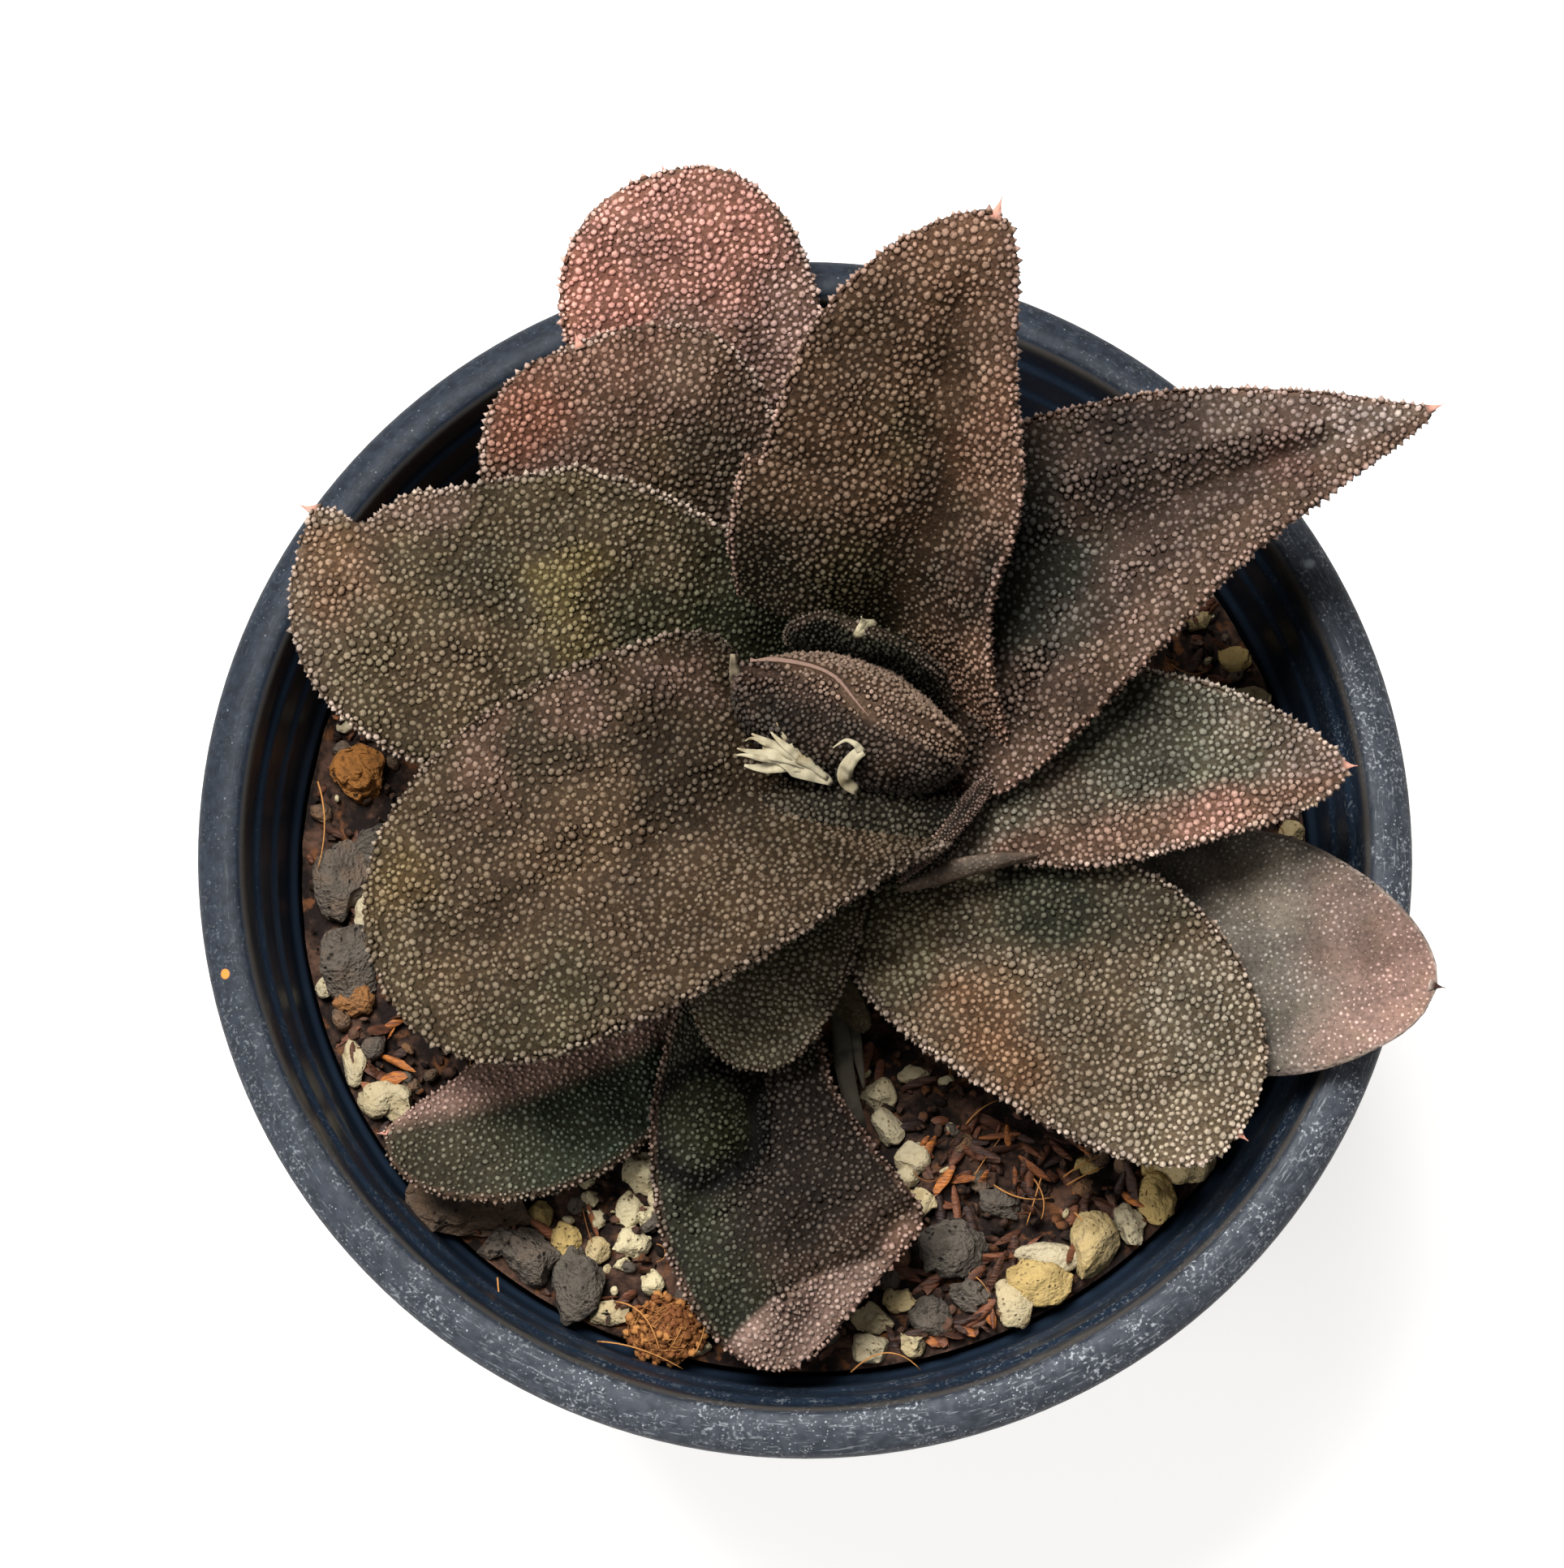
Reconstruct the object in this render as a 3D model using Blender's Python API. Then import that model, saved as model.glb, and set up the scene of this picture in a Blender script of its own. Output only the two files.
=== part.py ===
"""Potted gasteria: a warty rosette of thick leaves in a round plastic nursery pot.

Metres, +Z up. The origin is the centre of the flat foot of the pot.
Sizes below are in millimetres and are turned into metres by MM.
"""
import math
import random

import bmesh
import bpy
import numpy as np
from mathutils import Matrix, Vector, noise

MM = 0.001

# The pot
RIM_RADIUS = 52.6
RIM_HEIGHT = 80.5
RIM_INNER_RADIUS = 48.4
SKIRT_DEPTH = 10.0
FOOT_RADIUS = 37.0
WALL = 1.2
FLOOR_HEIGHT = 1.6
LEDGE_HEIGHT = 64.0
LEDGE_RADIUS = 45.5
# The steps inside, above the ledge: radius and height of each corner, from the rim down
POT_STEPS = [(48.1, 76.8), (47.5, 76.2), (47.1, 72.6), (46.6, 72.0), (46.2, 67.4), (LEDGE_RADIUS, 66.8)]
POT_SIDES = 60
DRAIN_HOLES = 6
DRAIN_HOLE_RADIUS = 3.2
DRAIN_RING_RADIUS = 27.0
DRAIN_HOLE_SIDES = 10

# The mix and the stem
CLEARANCE = 0.35
MIX_HEIGHT = 67.0
MIX_SIDES = 40
MIX_RING_STEP = 3.8
RUBBLE_HEIGHT = 0.8
MIX_DIP = 2.8
MIX_DIP_RADIUS = 14.0
MIX_BANK_RADIUS = 30.0
MIX_SLOPE = 0.035
BIG_STONE = 19.0
EXTRA_STONES_FROM = 22.0
EXTRA_STONES_TO = 41.5
EXTRA_STONE_SPACING = 3.0
EXTRA_STONE_RISE = 1.6
STEM_X = 3.9
STEM_Y = 8.4
STEM_FOOT = 56.0
STEM_RADIUS = 7.0
STEM_SIDES = 20
# The stem above its foot, from the mix to the heart of the rosette: radius and height
STEM_TOP = [(STEM_RADIUS, 66.0), (5.6, 70.0), (4.6, 75.0), (4.0, 79.5), (2.6, 81.0), (0.0, 81.3)]

# The leaves
LEAF_RINGS = 20
LEAF_SIDES = 18
SMALL_LEAF_RINGS = 14
SMALL_LEAF_SIDES = 12
BASE_ROUNDING = 0.05
WART_HEIGHT = 0.5
WART_START = 0.12
WAVE_LENGTH = 13.0
EDGE_THICKNESS = 1.0

# The scraps of an old flower
SHRED_WIDTH = 1.8
SHRED_DEPTH = 0.9
STRAND_RADIUS = 0.4
STRAND_TIP_RADIUS = 0.3
STRAND_FAN = 1.0
STRAND_LIFT = 0.18
# Middle of each scrap, the way it points, its length and its strands
DRIED_FLOWERS = {
    "dried_flower_long": ((-1.6, 2.2, 91.6), (-0.9, 0.42, 0.12), 4.4, 4),
    "dried_flower_short": ((4.3, 1.1, 91.7), (0.4, 0.7, 0.7), 2.6, 2),
}

# Each leaf: the way its middle line runs out from the stem, its half width on each side of that line
# (left and right as seen from the stem), where it is widest, how blunt each side of its end is, how wide
# its foot is and how late it swells from there, how thick it is, how far its edges rise beside the middle
# line (left at the foot, right at the foot, both at the tip), and how much its skin waves.
LEAVES = {
    "leaf_back": dict(
        spine=[(2.0, 15.2, 68.3), (-2.5, 27.0, 71.6), (-8.0, 44.0, 82.4), (-12.3, 57.6, 87.8)],
        half=(12.5, 10.0), widest=0.74, blunt=(2.3, 2.2), foot=(0.3, 0.3), swell=1.5, thick=4.0,
        rise=(0.5, 0.5, -0.5), wave=0.5, small=False, colour=(0.30, 0.13, 0.11)),
    "leaf_back_left": dict(
        spine=[(-0.3, 14.4, 72.0), (-7.9, 25.3, 77.8), (-14.8, 32.6, 83.9), (-19.6, 42.0, 88.0)],
        half=(12.5, 12.3), widest=0.70, blunt=(2.3, 2.6), foot=(0.3, 0.3), swell=1.8, thick=3.6,
        rise=(-0.5, 0.5, 0.0), wave=0.5, small=False, colour=(0.24, 0.12, 0.09)),
    "leaf_left": dict(
        spine=[(-3.6, 11.8, 75.2), (-11.4, 17.6, 82.8), (-24.0, 21.0, 87.7), (-42.0, 26.6, 89.5)],
        half=(17.0, 9.4), widest=0.55, blunt=(2.6, 1.5), foot=(0.52, 0.52), swell=1.0, thick=4.6,
        rise=(0.0, 1.0, 0.0), wave=0.6, small=False, colour=(0.17, 0.14, 0.08)),
    "leaf_front_left": dict(
        spine=[(-1.2, 5.0, 78.0), (-3.0, 3.8, 87.4), (-12.0, -1.5, 91.0), (-24.5, -7.5, 91.0),
               (-36.0, -12.5, 87.0)],
        half=(15.0, 16.0), widest=0.50, blunt=(2.6, 2.6), foot=(0.75, 0.75), swell=1.0, thick=5.6,
        rise=(12.0, 0.4, -1.0), wave=0.7, small=False, colour=(0.16, 0.12, 0.09)),
    "leaf_upright": dict(
        spine=[(7.1, 15.7, 84.0), (9.6, 19.1, 92.0), (12.4, 24.6, 98.5), (12.4, 34.5, 106.5),
               (15.1, 44.8, 112.0)],
        half=(17.5, 5.0), widest=0.36, blunt=(1.5, 2.2), foot=(0.75, 0.75), swell=1.0, thick=5.0,
        rise=(2.0, 3.0, 1.0), wave=0.7, small=False, colour=(0.14, 0.09, 0.07)),
    "leaf_right_back": dict(
        spine=[(9.8, 5.2, 77.2), (15.0, 6.3, 84.9), (23.8, 15.5, 91.5), (35.0, 25.0, 96.5),
               (51.2, 31.6, 102.5)],
        half=(17.8, 5.5), widest=0.46, blunt=(1.02, 1.8), foot=(0.75, 0.3), swell=1.15, thick=4.0,
        rise=(-6.0, 1.6, 1.5), wave=0.6, small=False, colour=(0.17, 0.10, 0.08)),
    "leaf_right": dict(
        spine=[(9.8, 3.6, 73.0), (15.0, -1.2, 79.1), (28.0, 4.0, 85.5), (45.5, 4.4, 89.5)],
        half=(10.5, 6.5), widest=0.52, blunt=(1.3, 2.0), foot=(0.28, 0.28), swell=3.2, thick=3.4,
        rise=(-1.0, 1.0, 1.0), wave=0.5, small=False, colour=(0.16, 0.14, 0.10)),
    "leaf_front_right": dict(
        spine=[(7.6, 1.9, 70.5), (11.4, -7.2, 75.3), (22.5, -15.7, 83.6), (36.4, -25.8, 82.9)],
        half=(13.2, 9.0), widest=0.66, blunt=(2.9, 2.0), foot=(0.3, 0.3), swell=1.6, thick=4.5,
        rise=(0.0, 0.5, 0.5), wave=0.6, small=False, colour=(0.19, 0.14, 0.09)),
    "leaf_far_right": dict(
        spine=[(9.6, 4.4, 67.7), (22.0, -2.5, 71.0), (38.0, -9.0, 78.8), (52.8, -13.8, 86.4)],
        half=(10.5, 11.0), widest=0.68, blunt=(1.9, 2.2), foot=(0.3, 0.3), swell=1.5, thick=3.4,
        rise=(0.0, 0.0, 0.0), wave=0.3, small=False, colour=(0.30, 0.19, 0.16)),
    "leaf_front": dict(
        spine=[(3.6, 1.2, 68.9), (-1.6, -12.0, 72.4), (-4.0, -24.0, 75.5), (-1.9, -33.5, 77.0),
               (3.2, -41.2, 76.3)],
        half=(11.6, 9.9), widest=0.60, blunt=(5.0, 5.0), foot=(0.3, 0.33), swell=1.9, thick=4.2,
        rise=(0.5, 0.5, 0.5), wave=0.5, small=False, colour=(0.13, 0.10, 0.08)),
    "leaf_front_small": dict(
        spine=[(2.3, 3.3, 73.2), (-0.4, -6.0, 78.0), (-3.4, -14.0, 80.5), (-5.8, -19.3, 80.0)],
        half=(7.5, 5.5), widest=0.60, blunt=(2.2, 2.0), foot=(0.5, 0.5), swell=1.0, thick=3.2,
        rise=(0.5, 0.5, 0.0), wave=0.3, small=True, colour=(0.14, 0.11, 0.09)),
    "leaf_low_left": dict(
        spine=[(-2.3, 4.4, 67.9), (-12.9, -8.2, 69.2), (-22.5, -19.3, 73.5), (-36.4, -25.0, 77.0)],
        half=(9.0, 7.6), widest=0.58, blunt=(1.8, 1.6), foot=(0.3, 0.3), swell=1.5, thick=3.4,
        rise=(0.0, 0.5, 0.5), wave=0.4, small=False, colour=(0.08, 0.09, 0.05)),
    "leaf_stub": dict(
        spine=[(6.4, 0.9, 65.8), (8.6, -8.0, 68.2), (9.0, -16.0, 70.7)],
        half=(3.0, 2.6), widest=0.55, blunt=(2.0, 2.0), foot=(0.6, 0.6), swell=1.0, thick=1.6,
        rise=(0.5, 0.5, 1.0), wave=0.0, small=True, colour=(0.20, 0.21, 0.16)),
    "young_leaf_back": dict(
        spine=[(5.6, 12.7, 83.2), (5.5, 13.9, 88.5), (4.8, 15.3, 94.4)],
        half=(7.8, 7.3), widest=0.35, blunt=(2.2, 2.2), foot=(0.55, 0.55), swell=1.0, thick=1.4,
        rise=(0.5, 0.5, 0.3), wave=0.0, small=True, colour=(0.08, 0.09, 0.05)),
    "young_leaf_centre": dict(
        spine=[(3.9, 7.9, 82.0), (3.7, 7.7, 88.0), (3.6, 8.0, 95.0)],
        half=(8.9, 10.6), widest=0.62, blunt=(2.6, 2.6), foot=(0.3, 0.3), swell=1.0, thick=4.4, crown=3.2,
        rise=(0.0, 0.0, 0.0), wave=0.0, small=True, colour=(0.22, 0.13, 0.10)),
}
LEAF_FACING = {
    "young_leaf_back": (0.38, 0.925),
    "young_leaf_centre": (0.47, 0.883),
}

# Stones and chips that stand out of the mix: place, length, width, and how far each stands up
STONES = [
    (34.7, -27.6, 6.2, 5.1, 2.4), (26.4, -36.1, 5.1, 6.2, 2.4), (21.2, -38.9, 6.2, 4.5, 2.2),
    (20.6, -34.9, 6.0, 3.0, 1.6), (28.3, -32.2, 3.3, 2.9, 1.4), (32.3, -31.7, 3.3, 4.6, 1.6),
    (9.8, -30.5, 3.6, 2.9, 1.6), (5.9, -40.6, 4.0, 2.5, 1.3), (6.0, -44.0, 3.3, 2.6, 1.4),
    (7.4, -23.7, 2.9, 3.6, 1.6), (9.0, -20.0, 5.0, 2.4, 1.4), (-21.2, -33.6, 2.9, 3.6, 1.4),
    (-17.2, -41.0, 3.8, 2.5, 1.4), (-41.0, -18.7, 2.3, 4.5, 1.5), (-38.5, -22.1, 4.0, 3.6, 1.8),
    (-34.9, -21.4, 4.0, 3.6, 1.8), (-39.2, -5.3, 2.8, 5.8, 2.6), (40.6, 15.4, 3.5, 2.6, 1.6),
    (39.3, -21.4, 3.6, 5.1, 2.0), (39.5, 19.1, 3.3, 2.9, 1.6), (-14.3, -28.6, 3.6, 4.6, 2.0),
    (-15.0, -33.8, 3.4, 3.0, 1.6), (-30.2, -31.5, 11.5, 6.2, 2.2), (-41.0, -1.5, 5.4, 8.0, 2.4),
    (-40.2, -11.2, 5.6, 6.6, 2.0), (-25.4, -36.6, 5.4, 4.4, 2.4), (-20.4, -38.0, 5.1, 5.6, 2.6),
    (13.0, -34.7, 6.5, 5.4, 2.2), (-39.8, 8.2, 5.4, 5.7, 2.4), (-12.0, -41.2, 6.3, 5.6, 2.2),
    (13.6, -26.8, 7.0, 3.0, 1.6), (18.0, -27.0, 5.0, 2.2, 1.3),
]
EXTRA_STONES = 24


def material(name, colour, roughness, metallic=0.0):
    """A plain material in the piece's own colour."""
    made = bpy.data.materials.new(name)
    made.use_nodes = True
    shader = made.node_tree.nodes["Principled BSDF"]
    shader.inputs["Base Color"].default_value = (*colour, 1)
    shader.inputs["Roughness"].default_value = roughness
    shader.inputs["Metallic"].default_value = metallic
    return made


def place(name, bm, finish, smooth_angle=math.radians(40)):
    """Turn a bmesh in millimetres into a named object in metres."""
    bmesh.ops.scale(bm, vec=Vector((MM, MM, MM)), verts=bm.verts)
    mesh = bpy.data.meshes.new(name)
    bm.to_mesh(mesh)
    bm.free()
    mesh.shade_smooth()
    mesh.set_sharp_from_angle(angle=smooth_angle)
    mesh.materials.append(finish)
    made = bpy.data.objects.new(name, mesh)
    bpy.context.scene.collection.objects.link(made)
    return made


def turned(profile, sides, centre=(0.0, 0.0)):
    """Spin a profile of (radius, height) points about an upright axis into a closed body."""
    bm = bmesh.new()
    x, y = centre
    points = [bm.verts.new((x + radius, y, height)) for radius, height in profile]
    edges = [bm.edges.new(pair) for pair in zip(points, points[1:])]
    if profile[0][0] > 0:
        edges.append(bm.edges.new((points[-1], points[0])))
    bmesh.ops.spin(bm, geom=points + edges, cent=(x, y, 0), axis=(0, 0, 1), angle=math.tau,
                   steps=sides, use_merge=True)
    bmesh.ops.remove_doubles(bm, verts=bm.verts, dist=0.001)
    bmesh.ops.recalc_face_normals(bm, faces=bm.faces)
    return bm


def combine(body, others, operation):
    """Join or cut the body with every other object at once, and remove those objects."""
    group = bpy.data.collections.new(body.name + "_" + operation.lower())
    bpy.context.scene.collection.children.link(group)
    for other in others:
        bpy.context.scene.collection.objects.unlink(other)
        group.objects.link(other)
        other.hide_render = True
        other.display_type = "WIRE"
    boolean = body.modifiers.new(operation.lower(), "BOOLEAN")
    boolean.operation = operation
    boolean.operand_type = "COLLECTION"
    boolean.collection = group
    boolean.solver = "EXACT"
    bpy.context.view_layer.update()
    solved = body.evaluated_get(bpy.context.evaluated_depsgraph_get())
    body_mesh = bpy.data.meshes.new_from_object(solved)
    body.modifiers.clear()
    body.data = body_mesh
    for other in others:
        bpy.data.objects.remove(other)
    bpy.data.collections.remove(group)
    return body


def inner_radius(height):
    """Radius of the inside of the pot below its ledge."""
    lower = FOOT_RADIUS - WALL
    return lower + (LEDGE_RADIUS - lower) * height / LEDGE_HEIGHT


def make_pot():
    """The moulded pot: a tapered wall, stacking steps inside, a rolled rim with a hanging skirt."""
    ledge_outer = LEDGE_RADIUS + WALL
    skirt_foot = RIM_HEIGHT - SKIRT_DEPTH
    outside = [
        (FOOT_RADIUS - 2.0, 0.0), (FOOT_RADIUS - 0.4, 0.7), (FOOT_RADIUS + 0.2, 2.4),
        (ledge_outer, LEDGE_HEIGHT), (ledge_outer + 1.0, skirt_foot),
        (RIM_INNER_RADIUS + 1.0, RIM_HEIGHT - 2.6),
    ]
    skirt = [
        (RIM_RADIUS - 1.5, RIM_HEIGHT - 2.8), (RIM_RADIUS - 1.4, skirt_foot), (RIM_RADIUS - 0.2, skirt_foot),
        (RIM_RADIUS, RIM_HEIGHT - 1.9), (RIM_RADIUS - 0.4, RIM_HEIGHT - 1.1),
        (RIM_RADIUS - 1.5, RIM_HEIGHT - 0.3), (RIM_RADIUS - 2.7, RIM_HEIGHT),
        (RIM_INNER_RADIUS + 0.5, RIM_HEIGHT - 0.2), (RIM_INNER_RADIUS, RIM_HEIGHT - 0.8),
    ]
    floor = [
        (LEDGE_RADIUS, LEDGE_HEIGHT), (inner_radius(3.0), 3.0), (FOOT_RADIUS - 3.0, FLOOR_HEIGHT),
        (0.0, FLOOR_HEIGHT),
    ]
    bm = turned([(0.0, 0.0)] + outside + skirt + POT_STEPS + floor, POT_SIDES)
    pot = place("pot", bm, material("pot_plastic", (0.035, 0.042, 0.052), 0.38))
    drills = []
    for turn in range(DRAIN_HOLES):
        angle = math.tau * (turn + 0.5) / DRAIN_HOLES
        drill_mesh = bmesh.new()
        spot = Vector((math.cos(angle), math.sin(angle), 0)) * DRAIN_RING_RADIUS
        bmesh.ops.create_cone(drill_mesh, cap_ends=True, segments=DRAIN_HOLE_SIDES,
                              radius1=DRAIN_HOLE_RADIUS, radius2=DRAIN_HOLE_RADIUS, depth=5 * FLOOR_HEIGHT,
                              matrix=Matrix.Translation(spot))
        drills.append(place("drain_%d" % turn, drill_mesh, pot.data.materials[0]))
    return combine(pot, drills, "DIFFERENCE")


def stone_body(name, spot, length, width, height, turn, rng, finish, detail):
    """One rough stone, sunk into the mix to its waist."""
    bm = bmesh.new()
    bmesh.ops.create_icosphere(bm, subdivisions=detail, radius=1)
    for vert in bm.verts:
        vert.co *= rng.uniform(0.86, 1.12)
    size = Matrix.Diagonal((length / 2, width / 2, height, 1))
    shift = Matrix.Translation(Vector(spot))
    bmesh.ops.transform(bm, matrix=shift @ Matrix.Rotation(turn, 4, "Z") @ size, verts=bm.verts)
    return place(name, bm, finish)


def mix_level(x, y):
    """Height of the top of the mix: lower round the stem, and banked up a little at the front."""
    radius = math.hypot(x, y)
    bank = min(1.0, max(0.0, (radius - MIX_DIP_RADIUS) / (MIX_BANK_RADIUS - MIX_DIP_RADIUS)))
    return MIX_HEIGHT - MIX_DIP * (1 - bank) - MIX_SLOPE * y * bank


def make_potting_mix():
    """The mix: a body that fills the pot, with a rubble top, a hole for the stem and stones in it."""
    rng = random.Random(7)
    hole = STEM_RADIUS + CLEARANCE
    edge = LEDGE_RADIUS - CLEARANCE
    finish = material("mix", (0.12, 0.07, 0.045), 0.95)
    rings = int((edge - MIX_DIP_RADIUS) / MIX_RING_STEP)
    top = [(MIX_DIP_RADIUS + (edge - MIX_DIP_RADIUS) * ring / rings, MIX_HEIGHT) for ring in range(rings)]
    bottom = FLOOR_HEIGHT + CLEARANCE
    side = [(edge, MIX_HEIGHT - 1.2), (edge, LEDGE_HEIGHT), (inner_radius(3.2) - 0.5, 3.4),
            (FOOT_RADIUS - 4.0, bottom), (0.0, bottom)]
    bm = turned([(0.0, MIX_HEIGHT)] + top + side, MIX_SIDES)
    for vert in bm.verts:
        if vert.co.z > MIX_HEIGHT - 0.5:
            vert.co.z = mix_level(vert.co.x, vert.co.y) + rng.uniform(-RUBBLE_HEIGHT, RUBBLE_HEIGHT)
    bmesh.ops.triangulate(bm, faces=bm.faces)
    mix = place("potting_mix", bm, finish)
    stones = []
    for x, y, length, width, height in STONES:
        reach = math.hypot(x, y) + min(length, width) / 2 + 0.6
        pull = min(1.0, (edge - 0.5) / reach)
        spot = (x * pull, y * pull, mix_level(x, y))
        detail = 2 if length * width > BIG_STONE else 1
        stones.append(stone_body("stone", spot, length, width, height, 0.0, rng, finish, detail))
    while len(stones) < len(STONES) + EXTRA_STONES:
        angle = rng.uniform(0, math.tau)
        radius = math.sqrt(rng.uniform(EXTRA_STONES_FROM ** 2, EXTRA_STONES_TO ** 2))
        x, y = radius * math.cos(angle), radius * math.sin(angle)
        clear = min(math.hypot(x - near[0], y - near[1]) - near[2] / 2 for near in STONES)
        if clear > EXTRA_STONE_SPACING:
            length = rng.uniform(3.5, 5.5)
            width = length * rng.uniform(0.4, 0.8)
            spot = (x, y, mix_level(x, y))
            stones.append(stone_body("stone", spot, length, width, EXTRA_STONE_RISE,
                                     rng.uniform(0, math.pi), rng, finish, 1))
    combine(mix, stones, "UNION")
    foot = STEM_FOOT - CLEARANCE
    drill = turned([(0.0, foot), (hole, foot), (hole, RIM_HEIGHT), (0.0, RIM_HEIGHT)], STEM_SIDES,
                   (STEM_X, STEM_Y))
    return combine(mix, [place("stem_hole", drill, finish)], "DIFFERENCE")


def make_stem():
    """The short stem, from its foot in the mix to the heart of the rosette."""
    foot = [(0.0, STEM_FOOT), (STEM_RADIUS - 1.0, STEM_FOOT), (STEM_RADIUS, STEM_FOOT + 2.0)]
    bm = turned(foot + STEM_TOP, STEM_SIDES, (STEM_X, STEM_Y))
    return place("stem", bm, material("stem_green", (0.16, 0.15, 0.09), 0.7))


def along(points, share):
    """Place and direction at a share of the way along a smooth line through the points."""
    points = np.array(points, float)
    chords = np.linalg.norm(np.diff(points, axis=0), axis=1)
    knots = np.concatenate(([0.0], np.cumsum(chords))) / chords.sum()
    slopes = np.gradient(points, knots, axis=0, edge_order=2)
    first = min(int(np.searchsorted(knots, share, side="right")) - 1, len(knots) - 2)
    span = knots[first + 1] - knots[first]
    t = (share - knots[first]) / span
    start, end = points[first], points[first + 1]
    pull_start, pull_end = slopes[first] * span, slopes[first + 1] * span
    spot = ((2 * t**3 - 3 * t**2 + 1) * start + (t**3 - 2 * t**2 + t) * pull_start
            + (3 * t**2 - 2 * t**3) * end + (t**3 - t**2) * pull_end)
    heading = ((6 * t**2 - 6 * t) * start + (3 * t**2 - 4 * t + 1) * pull_start
               + (6 * t - 6 * t**2) * end + (3 * t**2 - 2 * t) * pull_end)
    return Vector(spot), Vector(heading).normalized()


def outline(share, leaf, side):
    """Half width at a share of the length, as a share of the full half width."""
    cap = math.sqrt(1 - (1 - min(1.0, share / BASE_ROUNDING)) ** 2)
    if share < leaf["widest"]:
        swell = math.sin(math.pi / 2 * share / leaf["widest"]) ** leaf["swell"]
        return cap * (leaf["foot"][side] + (1 - leaf["foot"][side]) * swell)
    rest = (share - leaf["widest"]) / (1 - leaf["widest"])
    blunt = leaf["blunt"][side]
    return max(0.0, 1 - rest ** blunt) ** (1 / blunt)


def leaf_point(leaf, facing, share, around):
    """A point of the leaf's skin: share of the length, and angle around from the left edge over the top."""
    middle, heading = along(leaf["spine"], share)
    left = Vector((-facing[1], facing[0], 0))
    left = (left - heading * left.dot(heading)).normalized()
    up = heading.cross(left)
    ease = share * share * (3 - 2 * share)
    across = 0.6 * (1 - 2 * abs(around) / math.pi) + 0.4 * math.cos(around)
    round_off = math.sqrt(max(0.0, 1 - across * across))
    reach = across * (leaf["half"][0] * outline(share, leaf, 0) if across > 0
                      else leaf["half"][1] * outline(share, leaf, 1))
    cap = math.sqrt(1 - (1 - min(1.0, share / BASE_ROUNDING)) ** 2) * math.sqrt(1 - share ** 8)
    if around >= 0:
        height = leaf.get("crown", 0.7) * round_off ** 0.7
    else:
        fullness = 0.55 + 0.45 * math.sin(math.pi * min(1.0, share / 0.85))
        belly = (leaf["thick"] - EDGE_THICKNESS) * fullness
        height = -(EDGE_THICKNESS * round_off ** 0.5 + belly * round_off ** 2.4)
    rise_foot = leaf["rise"][0 if across > 0 else 1]
    rise = rise_foot + (leaf["rise"][2] - rise_foot) * ease
    spread = outline(share, leaf, 0 if across > 0 else 1)
    wave = leaf["wave"] * noise.noise((middle + left * reach) / WAVE_LENGTH)
    return middle + left * reach + up * (height * cap + rise * abs(across) ** 1.5 * spread + wave)


def make_leaf(name, leaf):
    """One leaf: a ball drawn out to the leaf's shape, with every second point of its skin raised as warts."""
    rings = SMALL_LEAF_RINGS if leaf["small"] else LEAF_RINGS
    sides = SMALL_LEAF_SIDES if leaf["small"] else LEAF_SIDES
    run = Vector(leaf["spine"][-1]) - Vector(leaf["spine"][0])
    facing = LEAF_FACING.get(name, tuple(run.xy.normalized()))
    bm = bmesh.new()
    bmesh.ops.create_uvsphere(bm, u_segments=sides, v_segments=rings, radius=1)
    warts = []
    for vert in bm.verts:
        ring = math.acos(max(-1.0, min(1.0, vert.co.z))) / math.pi
        around = math.atan2(vert.co.y, vert.co.x)
        share = 1 - (0.75 * ring + 0.25 * (1 - math.cos(ring * math.pi)) / 2)
        step = round(ring * rings) + round(around / math.tau * sides)
        if step % 2 and WART_START < share < 0.999 and name != "leaf_stub":
            warts.append(vert)
        vert.co = leaf_point(leaf, facing, share, around)
    bm.normal_update()
    for vert in warts:
        vert.co += vert.normal * WART_HEIGHT
    raised = set(warts)
    for face in [face for face in bm.faces if len(face.verts) == 4]:
        corners = list(face.verts)
        low = corners[0::2] if corners[1] in raised else corners[1::2]
        bmesh.utils.face_split(face, low[0], low[1])
    return place(name, bm, material(name + "_skin", leaf["colour"], 0.55), math.radians(75))


def make_dried_flower(name, spot, aim, length, strands):
    """A scrap of an old flower: a flat papery shred with a fan of strands at its frayed end."""
    finish = material(name + "_paper", (0.66, 0.60, 0.50), 0.9)
    aim = Vector(aim).normalized()
    turn = Vector((1, 0, 0)).rotation_difference(aim).to_matrix().to_4x4()
    place_at = Matrix.Translation(Vector(spot)) @ turn
    bm = bmesh.new()
    size = Matrix.Diagonal((length / 2, SHRED_WIDTH / 2, SHRED_DEPTH / 2, 1))
    bmesh.ops.create_uvsphere(bm, u_segments=8, v_segments=6, radius=1, matrix=place_at @ size)
    shred = place(name, bm, finish)
    frays = []
    for strand in range(strands):
        fan = (strand / (strands - 1) - 0.5) * STRAND_FAN
        strand_mesh = bmesh.new()
        lift = math.pi / 2 - STRAND_LIFT * (strand % 2)
        tilt = Matrix.Rotation(fan, 4, "Z") @ Matrix.Rotation(lift, 4, "Y")
        shift = Matrix.Translation((length * 0.25, fan * SHRED_WIDTH / 2, 0))
        ahead = Matrix.Translation((0, 0, length * 0.36))
        bmesh.ops.create_cone(strand_mesh, cap_ends=True, segments=5, radius1=STRAND_RADIUS,
                              radius2=STRAND_TIP_RADIUS, depth=length * 0.8,
                              matrix=place_at @ shift @ tilt @ ahead)
        frays.append(place("fray", strand_mesh, finish))
    return combine(shred, frays, "UNION")


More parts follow.
